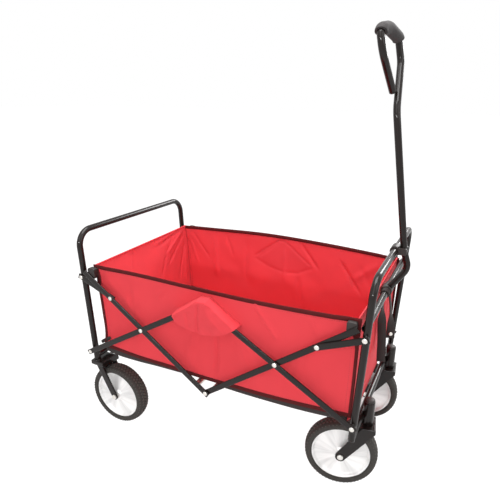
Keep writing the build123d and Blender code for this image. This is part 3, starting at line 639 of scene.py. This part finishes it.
class WAGON_OT_discs(bpy.types.Operator):
    """Makes the pressed wheel discs with their rims and hubs"""

    bl_idname = "wagon.discs"
    bl_label = "Wheel discs"

    def execute(self, context):
        for body, _, node, centre, heading in wheels():
            low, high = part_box(node)
            seat = (high.z - low.z) / 2 - 0.1 * MM
            hub = 19.0 * MM
            # From the bore over the hub and the dished disc to the rim
            profile = [
                (4.3 * MM, hub), (11.0 * MM, hub), (14.5 * MM, hub - 0.8 * MM), (17.0 * MM, hub - 4.5 * MM),
                (20.0 * MM, 13.6 * MM), (40.0 * MM, 10.6 * MM), (62.0 * MM, 7.2 * MM), (64.4 * MM, 8.4 * MM),
                (65.8 * MM, 12.0 * MM), (67.0 * MM, 15.0 * MM), (seat - 1.0 * MM, 15.8 * MM), (seat, 15.0 * MM),
            ]
            rings = wheel_rings(profile, centre, heading, 96)
            disc = lofted(body.replace("wheel", "disc"), rings, "silver_lacquer", closed=True)
            self.map_round(disc.data, centre, heading)
            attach(disc, body)
            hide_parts(node)
        return {"FINISHED"}

    def map_round(self, mesh, centre, heading):
        """UV map whose first axis goes once round the disc and whose second is the radius in metres."""
        layer = mesh.uv_layers[0].data
        back = Matrix.Rotation(-heading, 3, "Z")
        for polygon in mesh.polygons:
            local = [back @ (mesh.vertices[v].co - centre) for v in polygon.vertices]
            turns = [math.atan2(p.z, p.x) / math.tau for p in local]
            if max(turns) - min(turns) > 0.5:
                turns = [t + 1 if t < 0 else t for t in turns]
            for loop, p, turn in zip(polygon.loop_indices, local, turns):
                layer[loop].uv = (turn, math.hypot(p.x, p.z))


def curve_value(knots, values, at):
    """A smooth curve through a few measured values."""
    knots, values = np.array(knots, float), np.array(values, float)
    slope = np.gradient(values, knots)
    at = np.clip(at, knots[0], knots[-1])
    k = np.clip(np.searchsorted(knots, at, side="right") - 1, 0, len(knots) - 2)
    span = knots[k + 1] - knots[k]
    t = (at - knots[k]) / span
    return (
        (2 * t**3 - 3 * t**2 + 1) * values[k]
        + (t**3 - 2 * t**2 + t) * span * slope[k]
        + (3 * t**2 - 2 * t**3) * values[k + 1]
        + (t**3 - t**2) * span * slope[k + 1]
    )


def ease(low, high, at):
    """Goes softly from 0 at one value to 1 at another."""
    t = np.clip((at - low) / (high - low), 0, 1)
    return t * t * (3 - 2 * t)


def between(right, left, s):
    """Goes straight from the right value at s = -1 to the left one at s = 1."""
    return right * (1 - s) / 2 + left * (1 + s) / 2


def rear_edge(v, side):
    """X of a rear corner from the wagon's middle; v runs from the bottom to the top."""
    places = [-325, -318, -320, -325, -338] if side < 0 else [-348, -349, -352, -355, -360]
    return MM * curve_value([0, 0.18, 0.45, 0.72, 1], places, v)


def front_edge(v):
    """X of the front corners from the wagon's middle."""
    return MM * curve_value([0, 0.12, 0.4, 0.7, 1], [352, 353, 355, 356, 357], v)


def top_edge(u, side):
    """Height of a side's top edge; u runs from the rear to the front."""
    rise = [3.4, 5.0, 0.5, -2.5, 3.0] if side < 0 else [-1.0, 4.0, 11.0, 7.0, -6.0]
    return tub_high + MM * curve_value([0, 0.16, 0.42, 0.68, 1], rise, u)


def low_edge(u):
    """Height of the sides' lower edge, which hangs lowest over the tubes under the floor."""
    return MM * curve_value(
        [0, 0.05, 0.15, 0.33, 0.4, 0.51, 0.58, 0.66, 0.77, 0.88, 1],
        [248, 245, 240, 238, 236.2, 235.2, 235.4, 235.6, 238, 242, 248],
        u,
    )


def soft_noise(seed, a, b, wavelength):
    """Low waves of a few directions, about -1 to 1, over coordinates in metres."""
    # So many waves of height 1 seldom add up to more than the peak
    waves, peak = 7, 3.2
    draw = np.random.default_rng(seed)
    total = 0
    for _ in range(waves):
        angle, phase = draw.uniform(0, math.tau, 2)
        k = math.tau / (wavelength * draw.uniform(0.6, 1.6))
        total = total + np.sin(k * (a * math.cos(angle) + b * math.sin(angle)) + phase)
    return total / peak


def crease(a, b, start, end, width, fade):
    """A soft ridge along a line between two points, 1 on the line; both ends fade out."""
    run_a, run_b = end[0] - start[0], end[1] - start[1]
    run = math.hypot(run_a, run_b)
    t = ((a - start[0]) * run_a + (b - start[1]) * run_b) / run**2
    off = np.abs((a - start[0]) * run_b - (b - start[1]) * run_a) / run
    ends = np.clip(t / fade, 0, 1) * np.clip((1 - t) / fade, 0, 1)
    return np.exp(-((off / width) ** 2)) * ends * ends * (3 - 2 * ends)


def creases(a, b, folds, fade):
    """Sum of ridges given in millimetres as (start, end, width, height)."""
    return sum(MM * height * crease(a / MM, b / MM, *line, fade) for *line, height in folds)


def pocket_seam(side):
    """The line in millimetres along which a pocket is sewn to its side, as (x, z) from the wagon's middle."""
    if side < 0:
        return [(-84, 412.5), (-10, 462), (12, 462.5), (91, 408)]
    return [(-96, 408.5), (-10, 474), (12, 474.5), (104, 404)]


# Folds of the cloth as (start, end, width, height) in millimetres: on a side from (x, z) to (x, z) with x
# from the wagon's middle, on an end panel from (y, z) to (y, z)
right_folds = [
    ((-315, 470), (-170, 330), 12, 3.2), ((330, 470), (190, 340), 12, 3.2),
    ((-300, 260), (-150, 330), 11, -2.8), ((20, 246), (24, 375), 5.5, -5.0),
    ((122, 474), (153, 431), 4, 6.0), ((146, 441), (186, 386), 4.5, 5.0),
    ((-105, 476), (-150, 420), 5, 2.6), ((300, 260), (180, 330), 11, -2.8), ((-40, 372), (-60, 260), 10, 2.4),
    ((80, 390), (120, 270), 10, 2.4), ((-230, 470), (-225, 300), 8, -2.6), ((240, 400), (225, 270), 9, 2.4),
    ((-250, 420), (-190, 300), 6, 2.2), ((250, 474), (272, 420), 4, 2.4),
]
left_folds = [
    ((-357, 470), (-310, 345), 4.5, -3.8), ((-342, 474), (-258, 370), 4, 3.0), ((188, 446), (268, 332), 4, 6.0),
    ((60, 484), (130, 392), 4, 5.0), ((-92, 400), (6, 479), 4.5, 1.4), ((-120, 470), (-126, 300), 7, 2.6),
    ((330, 462), (230, 380), 10, -3.4), ((-245, 474), (-235, 300), 9, -3.0), ((60, 370), (70, 260), 8, 2.6),
    ((10, 465), (14, 330), 5, -2.4), ((-98, 407), (-38, 380), 5, 1.5), ((-48, 383), (20, 371), 5, 1.5),
    ((10, 371), (68, 376), 5, 1.5), ((58, 375), (112, 402), 5, 1.5), ((250, 440), (330, 300), 8, 2.4),
    ((-200, 476), (-170, 390), 5, 2.4),
]
rear_folds = [
    ((212, 476), (62, 446), 4, 4.2), ((208, 470), (84, 398), 4, -4.0), ((212, 458), (108, 372), 4.5, 4.2),
    ((200, 480), (36, 456), 4, -3.2), ((216, 440), (160, 300), 5, 3.8), ((216, 420), (196, 270), 5, -3.4),
    ((-205, 470), (-120, 380), 9, 3.4), ((0, 250), (10, 360), 10, -2.8), ((150, 468), (94, 392), 3.5, 3.0),
    ((-150, 300), (-60, 260), 9, 2.8), ((120, 440), (60, 340), 6, 2.6), ((-60, 474), (-80, 400), 6, 2.4),
]
# The fifth of these is the dent behind the front strap
front_folds = [
    ((-170, 476), (-165, 270), 7, 4.5), ((-120, 474), (-128, 280), 8, -4.5), ((-60, 470), (-70, 300), 8, 4.0),
    ((-20, 472), (-44, 330), 4, -4.0), ((-27, 430), (-27, 300), 9, -6.0), ((70, 470), (78, 280), 8, 4.2),
    ((130, 474), (120, 270), 9, -4.0), ((185, 470), (180, 300), 7, 3.6),
]


def side_grid(side, columns=220, rows=80):
    """The cloth of one side from the rear to the front; side is -1 on the right and 1 on the left."""
    u, v = np.meshgrid(np.linspace(0, 1, columns), np.linspace(0, 1, rows))
    x = rear_edge(v, side) * (1 - u) + front_edge(v) * u
    z = low_edge(u) * (1 - v) + top_edge(u, side) * v
    held = np.sin(math.pi * u) ** 0.6 * np.sin(math.pi * v) ** 0.7
    seeds, folds = ((11, 5), right_folds) if side < 0 else ((23, 7), left_folds)
    out = -3.5 * MM * held
    for seed, height, wavelength in zip(seeds, (1.5, 0.6), (150, 60)):
        out = out + height * MM * held * soft_noise(seed, x, z, wavelength * MM)
    out = out + creases(x, z, folds, 0.25) * np.sqrt(held)
    seam = pocket_seam(side)
    out = out + creases(x, z, [(a, b, 3, 2.0) for a, b in zip(seam[:-1], seam[1:])], 0.1)
    # The top corners lie under the caps on the braces
    rear_reach = ease(40 * MM, 8 * MM, x - rear_edge(v, side))
    corner = np.maximum(rear_reach, ease(300 * MM, 332 * MM, x)) * ease(425 * MM, 452 * MM, z)
    out = out * (1 - corner) - corner_inset * corner
    return np.stack([mid_x + x, side * (side_y + out), z], axis=2)


def nearest_point(flat, x, z):
    """Number of the point of a side's cloth that lies nearest to a place in its plane."""
    return int(np.argmin((flat[:, 0] - x) ** 2 + (flat[:, 2] - z) ** 2))


def fold_with_tub(piece):
    """The piece rides on the tub."""
    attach(piece, "tub")
    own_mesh(piece)


class WAGON_OT_sides(bpy.types.Operator):
    """Makes the two cloth sides with their bindings and stitches"""

    bl_idname = "wagon.sides"
    bl_label = "Cloth sides"

    def execute(self, context):
        for side, name in ((-1, "right"), (1, "left")):
            grid = side_grid(side)
            cloth = cloth_sheet("side_cloth_" + name, grid if side < 0 else grid[:, ::-1])
            out = grid_normals(grid) * -side
            along = unit_steps(grid, 1)
            up = unit_steps(grid, 0)
            for tape in self.bindings(grid, along, up, out, name):
                fold_with_tub(tape)
            for band in self.floor_bands(side, name):
                fold_with_tub(band)
            rows = self.rows(side, grid, along, up, out)
            fold_with_tub(stitches("side_stitches_" + name, rows))
            fold_with_tub(cloth)
            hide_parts("side_rear_" + name, "side_front_" + name)
        return {"FINISHED"}

    def bindings(self, grid, along, up, out, name):
        """Tapes on the side's edges; the upright ones stand out past the corners on the outside."""
        tape, top, edge, low = sizes().tape, sizes().top_binding, sizes().edge_binding, sizes().low_binding
        # How far the tapes reach past the cloth's edges, and how deep the upright ones sink into its face
        fin, over_top, over_low, sunk = edge - 0.5 * MM, 1 * MM, 0.6 * MM, 0.9 * MM
        share = np.linspace(0, 1, len(grid))
        width = edge + (sizes().corner_binding - edge) * ease(0.7, 0.86, share)
        outside = out * (sizes().cloth / 2 + tape / 2 - sunk)
        inward = (width / 2 - fin)[:, None]
        rear = grid[:, 0] + along[:, 0] * inward + outside[:, 0]
        front = grid[:, -1] - along[:, -1] * inward + outside[:, -1]
        rim = grid[-1] - up[-1] * (top / 2 - over_top)
        rim = np.concatenate([rim[:1] - along[-1, :1] * fin, rim, rim[-1:] + along[-1, -1:] * fin])
        rim_up, rim_out = (np.concatenate([line[:1], line, line[-1:]]) for line in (up[-1], out[-1]))
        hem = grid[0] + up[0] * (low / 2 - over_low)
        edges = [
            ("top", rim, rim_up, rim_out, top),
            ("rear", rear, along[:, 0], out[:, 0], width),
            ("front", front, along[:, -1], out[:, -1], width),
            ("low", hem, up[0], out[0], low),
        ]
        return [tape_along(f"{kind}_binding_{name}", *edge, tape, "binding_tape") for kind, *edge in edges]

    def floor_bands(self, side, name):
        """Dark edges of the floor cover that hang below the sides, clear of the tubes under the floor."""
        rear, front = rear_edge(0.0, side), front_edge(0.0)
        corner = rear / MM
        edges = {
            "rear": ([corner - 3, -300, -225, -157, -92, -48], [236, 231, 229, 232, 233.5, 235]),
            "front": ([46, 98, 173, 244, 308, 350], [227, 226, 226.5, 228.5, 233, 237]),
        }
        up, out, inside = (0, 0, 1), (0, side, 0), 0.6 * MM
        bands = []
        for end, (places, heights) in edges.items():
            x = MM * np.linspace(places[0], places[-1], 60)
            low = MM * curve_value(places, heights, x / MM)
            high = low_edge((x - rear) / (front - rear)) + 3 * MM
            path = np.stack([mid_x + x, np.full_like(x, side * (side_y - inside)), (low + high) / 2], axis=1)
            label = f"{end}_floor_band_{name}"
            bands.append(tape_along(label, path, up, out, high - low, sizes().tape, "nylon_webbing"))
        # A short tab of the floor cover sticks out past the rear corner
        tab = np.array([(corner - 16, 259), (corner - 9, 264), (corner + 9, 275), (corner + 17, 280)]) * MM
        path = np.stack([mid_x + tab[:, 0], np.full(4, side * (side_y + 1.8 * MM)), tab[:, 1]], axis=1)
        across, width = (-0.5, 0, 0.866), np.array([8, 10, 10, 7]) * MM
        tab = tape_along("corner_tab_" + name, path, across, out, width, sizes().webbing, "nylon_webbing")
        return bands + [tab]

    def rows(self, side, grid, along, up, out):
        """Rows of stitches beside the bindings on both faces, and along the pocket's seam inside."""
        # Distances of the stitches from the cloth's edges
        top, low = sizes().top_binding + 1.5 * MM, sizes().low_binding + 1.5 * MM
        edge = sizes().edge_binding + 2 * MM
        # They stop short of the corners, and the upright ones below the wider tape
        long, upright = np.s_[6:-6], np.s_[6:-16]
        lift = sizes().cloth / 2 + thread_lift
        lines = []
        for face in (-1, 1):
            shifted = grid + out * face * lift
            lines.append((shifted - up * top)[-1, long])
            lines.append((shifted + along * edge)[upright, 0])
            lines.append((shifted - along * edge)[upright, -1])
            lines.append((shifted + up * low)[0, long])
        flat, normal = grid.reshape(-1, 3), out.reshape(-1, 3)
        seam = np.array(pocket_seam(side)) * MM
        for start, end in zip(seam[:-1], seam[1:]):
            line = []
            for t in np.linspace(0.03, 0.97, 24):
                x, z = start + (end - start) * t
                k = nearest_point(flat, mid_x + x, z)
                line.append((mid_x + x, flat[k, 1] - normal[k, 1] * lift, z))
            lines.append(line)
        return lines


def end_grid(end, columns=170, rows=70):
    """The cloth of an end panel; end is -1 at the rear and 1 at the front."""
    s, v = np.meshgrid(np.linspace(-1, 1, columns), np.linspace(0, 1, rows))
    if end < 0:
        u, edge = 0.0, between(rear_edge(v, -1), rear_edge(v, 1), s)
        inset, skirt, bulge, seed, folds = 0.6, 1, 7, 31, rear_folds
    else:
        u, edge = 1.0, front_edge(v)
        inset, skirt, bulge, seed, folds = 1.4, 32 * (1 - s**4), 1.5, 47, front_folds
    y = s * (side_y - corner_inset * ease(0.75, 0.9, v) - inset * MM)
    sag, lean = 4 * MM * (1 - s**2), 8 * MM * (1 - s**2)
    top = between(top_edge(u, -1), top_edge(u, 1), s) - sag
    z = (tub_low - MM * skirt) * (1 - v) + top * v
    held = (1 - s**2) ** 0.5 * np.sin(math.pi * v) ** 0.6
    out = bulge * MM * held
    if end < 0:
        # The rear panel leans out at its top
        out = out + lean * ease(0.4, 1.0, v)
    out = out + 1.6 * MM * held * soft_noise(seed, y, z, 130 * MM)
    out = out + creases(y, z, folds, 0.2) * np.sqrt(held)
    grid = np.stack([mid_x + edge + end * out, y, z], axis=2)
    return grid[:, ::-1] if end < 0 else grid


class WAGON_OT_ends(bpy.types.Operator):
    """Makes the two end panels with their rolled hems"""

    bl_idname = "wagon.ends"
    bl_label = "End panels"

    def execute(self, context):
        thick, press_x = sizes().hem, mid_x - 370 * MM
        for end, name, body in ((-1, "rear", "tub"), (1, "front", "front_tub")):
            grid = end_grid(end)
            cloth = cloth_sheet(name + "_cloth", grid)
            normal = grid_normals(grid)
            up = unit_steps(grid, 0)
            hem = tape_along(name + "_hem", grid[-1], up[-1], normal[-1], thick, thick * 0.8, "red_polyester")
            line = (grid - up * (thick + 6 * MM))[-1, 3:-3]
            lift = normal[-1, 3:-3] * (sizes().cloth / 2 + thread_lift)
            for piece in (cloth, hem, stitches(name + "_stitches", [line - lift, line + lift])):
                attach(piece, body)
                if end < 0:
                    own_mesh(piece)
            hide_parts(name + "_panel")
        return {"FINISHED"}


class WAGON_OT_pockets(bpy.types.Operator):
    """Makes the cloth pockets over the high centre pivots"""

    bl_idname = "wagon.pockets"
    bl_label = "Pivot pockets"

    def execute(self, context):
        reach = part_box("pivot_pockets")[1].y + 1.8 * MM
        for side, name, flat, area in ((-1, "right", (0.20, 0.11), 0.0144), (1, "left", (0.22, 0.12), 0.0170)):
            pocket = cloth_sheet("pocket_" + name, self.pocket_grid(side, reach))
            self.fold_with_crossing(pocket)
        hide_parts("pivot_pockets")
        return {"FINISHED"}

    def fold_with_crossing(self, pocket):
        """The pocket rides on the tub."""
        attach(pocket, "tub")
        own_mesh(pocket)

    def pocket_grid(self, side, reach, columns=150, rows=80):
        """Cloth from the seam, tight over the crossed bars and down to a loose hem."""
        seam = np.array(pocket_seam(side)) * MM
        s, t = np.meshgrid(np.linspace(0, 1, columns), np.linspace(0, 1, rows))
        seam_x = seam[0, 0] + (seam[-1, 0] - seam[0, 0]) * s
        hem_x = MM * (-72 + 140 * s)
        high = np.interp(seam_x, seam[:, 0], seam[:, 1])
        low = MM * curve_value([0, 0.28, 0.63, 1], [394, 379, 376.5, 392.5], s)
        x = seam_x * (1 - t) + hem_x * t
        z = high * (1 - t) + low * t
        drop = high - z
        flat = side_grid(side).reshape(-1, 3)
        sewn = [nearest_point(flat, mid_x + a, b) for a, b in zip(seam_x[0], high[0])]
        sewn = np.abs(flat[sewn, 1]) + 0.2 * MM
        # The cloth leaves the side steeply, and most steeply above the crossing
        depth = MM * np.interp(seam_x, MM * np.array([-90, -30, -10, 12, 35, 100]), [7, 7, 4.5, 4.5, 7, 7])
        rise = 1 - (1 - np.clip(drop / depth, 0, 1)) ** 2.2
        # Over the front bar, which lies deeper, the cloth slopes outwards to the bar's lower edge
        slope = -5.5 * MM * ease(10 * MM, 30 * MM, x) * (1 - np.clip((drop - 7 * MM) / (22 * MM), 0, 1))
        # Between the bars, it falls back towards the side
        begin = (30 if side < 0 else 42) * MM
        middle = np.clip(1 - ((x - 2 * MM) / (70 * MM)) ** 4, 0, 1)
        out = reach + slope - 4.5 * MM * ease(begin, begin + 50 * MM, drop) * middle
        out = out + 0.9 * MM * soft_noise(61 + side, x, z, 40 * MM)
        out = out - creases(x, z, [((-6, 456), (-14, 372), 4, 2.6), ((-40, 430), (-34, 380), 5, 1.8)], 0.15)
        y = sewn * (1 - rise) + np.minimum(out, reach) * rise
        grid = np.stack([mid_x + x, side * y, z], axis=2)[::-1]
        return grid if side < 0 else grid[:, ::-1]


class WAGON_OT_bottom(bpy.types.Operator):
    """Makes the cloth bottom of the tub and the padded boards on it"""

    bl_idname = "wagon.bottom"
    bl_label = "Floor"

    def execute(self, context):
        rear_board, front_board = (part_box(end + "_floor_board") for end in ("rear", "front"))
        bottom, top = rear_board[0].z, rear_board[1].z
        sheet = cloth_sheet("bottom_cloth", self.bottom_grid(bottom - 0.9 * MM))
        fold_with_tub(sheet)
        for name, inner, outer in (
            ("rear", rear_board[1].x, (mid_x - 318 * MM, mid_x - 343 * MM)),
            ("front", front_board[0].x, (mid_x + 347 * MM, mid_x + 347 * MM)),
        ):
            pad = self.pad(name + "_floor_pad", inner, outer, side_y - 6 * MM, bottom, top + 2.2 * MM)
            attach(pad, name + "_floor")
            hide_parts(name + "_floor_board")
        return {"FINISHED"}

    def bottom_grid(self, level, rows=60):
        """A flat cloth that stops just short of the sides' lower edges and the front panel."""
        side_gap, front_gap = 1.2 * MM, 1.8 * MM
        right, left = (side_grid(side)[0, :, 1] - side * side_gap for side in (-1, 1))
        u, s = np.meshgrid(np.linspace(0, 1, len(right)), np.linspace(-1, 1, rows))
        rear = mid_x + between(rear_edge(0.0, -1), rear_edge(0.0, 1), s)
        panel = end_grid(1, columns=rows).transpose(1, 0, 2)
        front = np.array([np.interp(level, line[:, 2], line[:, 0]) for line in panel]) - front_gap
        x = rear * (1 - u) + front[:, None] * u
        return np.stack([x, between(right, left, s), np.full_like(u, level)], axis=2)

    def pad(self, name, inner, outer, half, low, high, columns=70, rows=90):
        """A stuffed board cover: two skins that meet along a soft rim; its outer edge may slant."""
        s, t = np.meshgrid(np.linspace(0, 1, columns), np.linspace(-1, 1, rows))
        run = between(*outer, t) - inner
        rim = np.minimum.reduce([s * np.abs(run), (1 - s) * np.abs(run), (1 - np.abs(t)) * half])
        rim_width, rim_share, lift = 12 * MM, 0.35, 0.2 * MM
        dome = np.sqrt(1 - (1 - np.clip(rim / rim_width, 0, 1)) ** 2)
        middle = low + (high - low) * rim_share
        skins = [middle + (high - middle) * dome, middle - (middle - low - lift) * dome]
        x, y = inner + run * s, t * half
        points = np.concatenate([np.stack([x, y, z], axis=2).reshape(-1, 3) for z in skins])
        number = np.arange(rows * columns).reshape(rows, columns)
        lower = number + rows * columns
        for edge in np.s_[0, :], np.s_[-1, :], np.s_[:, 0], np.s_[:, -1]:
            lower[edge] = number[edge]
        faces = np.concatenate([quads_of(number), quads_of(lower[:, ::-1])])
        used = np.unique(faces)
        faces = np.searchsorted(used, faces)
        points = points[used]
        return face_outward(mesh_piece(name, points, faces, points[faces.ravel()][:, :2], "red_polyester"))


class WAGON_OT_straps(bpy.types.Operator):
    """Makes the two twisted straps on the handle's cross tube and the snap on one of them"""

    bl_idname = "wagon.straps"
    bl_label = "Straps"

    def execute(self, context):
        self.strap("front_strap", [(456, 0), (430, -3), (390, -1), (340, 3), (281, 6)], 78, (432, 378))
        drop = [(456, 0), (430, 6), (390, 11), (350, 15), (325, 16)]
        path, out = self.strap("hang_strap", drop, 70, (400, 342))
        # The snap sits near the strap's end, on the face that looks to the right
        spot, face = Vector(path[-5]), Vector(out[-5]) * (1 if out[-5][1] < 0 else -1)
        dome = [(5.0, 0.0), (5.0, 1.0), (4.0, 1.7), (2.0, 2.0), (0.25, 2.0)]
        profile = [(radius * MM, height * MM) for radius, height in dome]
        first = face.orthogonal().normalized()
        rings = turned(profile, spot + face * sizes().webbing / 2, face, first, 20)
        snap = lofted("strap_snap", rings, "zinc_plate")
        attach(snap, "front_frame")
        return {"FINISHED"}

    def strap(self, node, drop, turn, turning):
        """Webbing round the tube, then down through (height, lead) places; it turns between two heights."""
        low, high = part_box(node)
        pivot = Vector(joints["handle_swing"]["pos_m"])
        radius = high.z - pivot.z - sizes().webbing / 2
        angles = np.radians(np.linspace(-70, 262, 40))
        loop = np.stack([pivot.x + radius * np.cos(angles), pivot.z + radius * np.sin(angles)], axis=1)
        heights = np.linspace(drop[0][0], drop[-1][0], 46)[1:]
        lead = curve_value([-d[0] for d in drop], [d[1] for d in drop], -heights)
        tail = np.stack([pivot.x + lead * MM, heights * MM], axis=1)
        x, z = np.concatenate([loop, tail]).T
        path = np.stack([x, np.full_like(x, (low.y + high.y) / 2), z], axis=1)
        twist = np.radians(turn) * ease(turning[0] * MM, turning[1] * MM, z)
        twist[: len(loop)] = 0
        across = np.stack([np.sin(twist), np.cos(twist), np.zeros_like(twist)], axis=1)
        out = np.cross(np.gradient(path, axis=0), across)
        out /= np.linalg.norm(out, axis=1, keepdims=True)
        width = high.y - low.y
        webbing = tape_along(node + "_webbing", path, across, out, width, sizes().webbing, "nylon_webbing")
        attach(webbing, "front_frame")
        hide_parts(node)
        return path, out


class WAGON_OT_stem_caps(bpy.types.Operator):
    """Makes the domed caps on the tops of the caster stems"""

    bl_idname = "wagon.stem_caps"
    bl_label = "Stem caps"

    def execute(self, context):
        dome = [(12.4, -4.0), (12.4, -1.0), (11.6, 0.8), (8.6, 2.0), (4.0, 2.6), (0.3, 2.7)]
        profile = [(radius * MM, height * MM) for radius, height in dome]
        for side in ("right", "left"):
            centre = Vector(joints[f"caster_{side}_swivel"]["pos_m"])
            centre.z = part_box("caster_bolts_" + side)[1].z
            rings = turned(profile, centre, (0, 0, 1), (1, 0, 0), 40)
            cap = lofted("stem_cap_" + side, rings, "moulded_plastic")
            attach(cap, "caster_" + side)
        return {"FINISHED"}


class WAGON_OT_stage(bpy.types.Operator):
    """Makes the floor, the studio light and the camera"""

    bl_idname = "wagon.stage"
    bl_label = "Stage"

    def execute(self, context):
        self.floor()
        self.light()
        self.camera()
        context.scene.view_settings.view_transform = "Standard"
        return {"FINISHED"}

    def background_rays(self, tree):
        """1 for rays that show the background: to the eye, in a reflection or through something clear."""
        path = add_node(tree, "ShaderNodeLightPath").outputs
        seen = maths(tree, "MAXIMUM", path["Is Camera Ray"], path["Is Glossy Ray"])
        return maths(tree, "MAXIMUM", seen, path["Is Transmission Ray"])

    def floor(self):
        """Pale paper that keeps a faint shadow and goes over into the white background."""
        mesh = bpy.data.meshes.new("studio_floor")
        span = 30.0
        corners = [(-span, -span, 0), (span, -span, 0), (span, span, 0), (-span, span, 0)]
        mesh.from_pydata(corners, [], [(0, 1, 2, 3)])
        material, tree, shader = start_material("studio_paper", colours().floor, 0.9, Specular_IOR_Level=0.1)
        white_share, white_strength = 0.8, 1.22
        white = add_node(tree, "ShaderNodeEmission", {"Color": (1, 1, 1, 1), "Strength": white_strength})
        mix_in(tree, maths(tree, "MULTIPLY", self.background_rays(tree), white_share), shader, white)
        mesh.materials.append(material)
        add_object("studio_floor", mesh)

    def light(self):
        """A pale room, soft lights around it, and a narrow one in front for thin bright lines on steel."""
        world = bpy.data.worlds.new("studio")
        bpy.context.scene.world = world
        world.use_nodes = True
        tree = world.node_tree
        shader = tree.nodes["Background"]
        shader.inputs["Color"].default_value = (1, 1, 1, 1)
        room_light, seen_light = 0.33, 1.0
        levels = {"Value": self.background_rays(tree), "To Min": room_light, "To Max": seen_light}
        strength = add_node(tree, "ShaderNodeMapRange", levels)
        tree.links.new(strength.outputs[0], shader.inputs["Strength"])
        aim = Vector((0, 0, 0.35))
        # Name, place, width and height in metres, and power in watts
        lamps = [
            ("front_light", (0.0, -2.5, 2.7), (2.2, 2.2), 23),
            ("right_light", (2.6, -0.7, 2.0), (1.8, 1.8), 18),
            ("back_light", (0.9, 2.6, 1.95), (1.2, 1.2), 64),
            ("top_light", (0.1, -0.2, 2.3), (1.4, 1.4), 52),
            ("strip_light", (0.1, -2.3, 1.15), (1.2, 0.1), 14),
        ]
        for name, place, size, power in lamps:
            lamp = bpy.data.lights.new(name, "AREA")
            lamp.shape = "RECTANGLE"
            lamp.size, lamp.size_y = size
            lamp.energy = power
            item = add_object(name, lamp)
            item.location = place
            item.rotation_euler = (aim - Vector(place)).to_track_quat("-Z", "Y").to_euler()

    def camera(self):
        """The camera as fitted to the photograph."""
        lens = bpy.data.cameras.new("camera")
        camera = add_object("camera", lens)
        place = (0.52388, -1.06287, 0.90294)
        right = Vector((0.90510548, 0.42505585, 0.01056356))
        up = Vector((-0.14401598, 0.28309952, 0.94821625))
        turn = Matrix((right, up, right.cross(up))).transposed()
        camera.matrix_world = Matrix.Translation(place) @ turn.to_4x4()
        lens.sensor_fit = "HORIZONTAL"
        lens.sensor_width = 36.0
        lens.lens = 33.23
        lens.shift_x = -0.0245
        lens.shift_y = 0.0035
        lens.clip_start = 0.05
        bpy.context.scene.camera = camera


class WAGON_PT_panel(bpy.types.Panel):
    """Lists the wagon's operators and what they take"""

    bl_label = "Folding pull wagon"
    bl_idname = "WAGON_PT_panel"
    bl_space_type = "VIEW_3D"
    bl_region_type = "UI"
    bl_category = "Wagon"

    def draw(self, context):
        for group in (context.scene.wagon_sizes, context.scene.wagon_colours):
            box = self.layout.box()
            for key in group.bl_rna.properties.keys():
                if key not in ("rna_type", "name"):
                    box.prop(group, key)
        for operator in operators:
            self.layout.operator(operator.bl_idname)


operators = (
    WAGON_OT_metal,
    WAGON_OT_tyres,
    WAGON_OT_discs,
    WAGON_OT_sides,
    WAGON_OT_ends,
    WAGON_OT_pockets,
    WAGON_OT_bottom,
    WAGON_OT_straps,
    WAGON_OT_stem_caps,
    WAGON_OT_stage,
)


def register():
    for item in (WagonSizes, WagonColours, *operators, WAGON_PT_panel):
        bpy.utils.register_class(item)
    bpy.types.Scene.wagon_sizes = bpy.props.PointerProperty(type=WagonSizes)
    bpy.types.Scene.wagon_colours = bpy.props.PointerProperty(type=WagonColours)


def unregister():
    del bpy.types.Scene.wagon_colours
    del bpy.types.Scene.wagon_sizes
    for item in reversed((WagonSizes, WagonColours, *operators, WAGON_PT_panel)):
        bpy.utils.unregister_class(item)


def main():
    register()
    bpy.ops.wagon.metal()
    bpy.ops.wagon.tyres()
    bpy.ops.wagon.discs()
    bpy.ops.wagon.sides()
    bpy.ops.wagon.ends()
    bpy.ops.wagon.pockets()
    bpy.ops.wagon.bottom()
    bpy.ops.wagon.straps()
    bpy.ops.wagon.stem_caps()
    bpy.ops.wagon.stage()


if __name__ == "__main__":
    main()
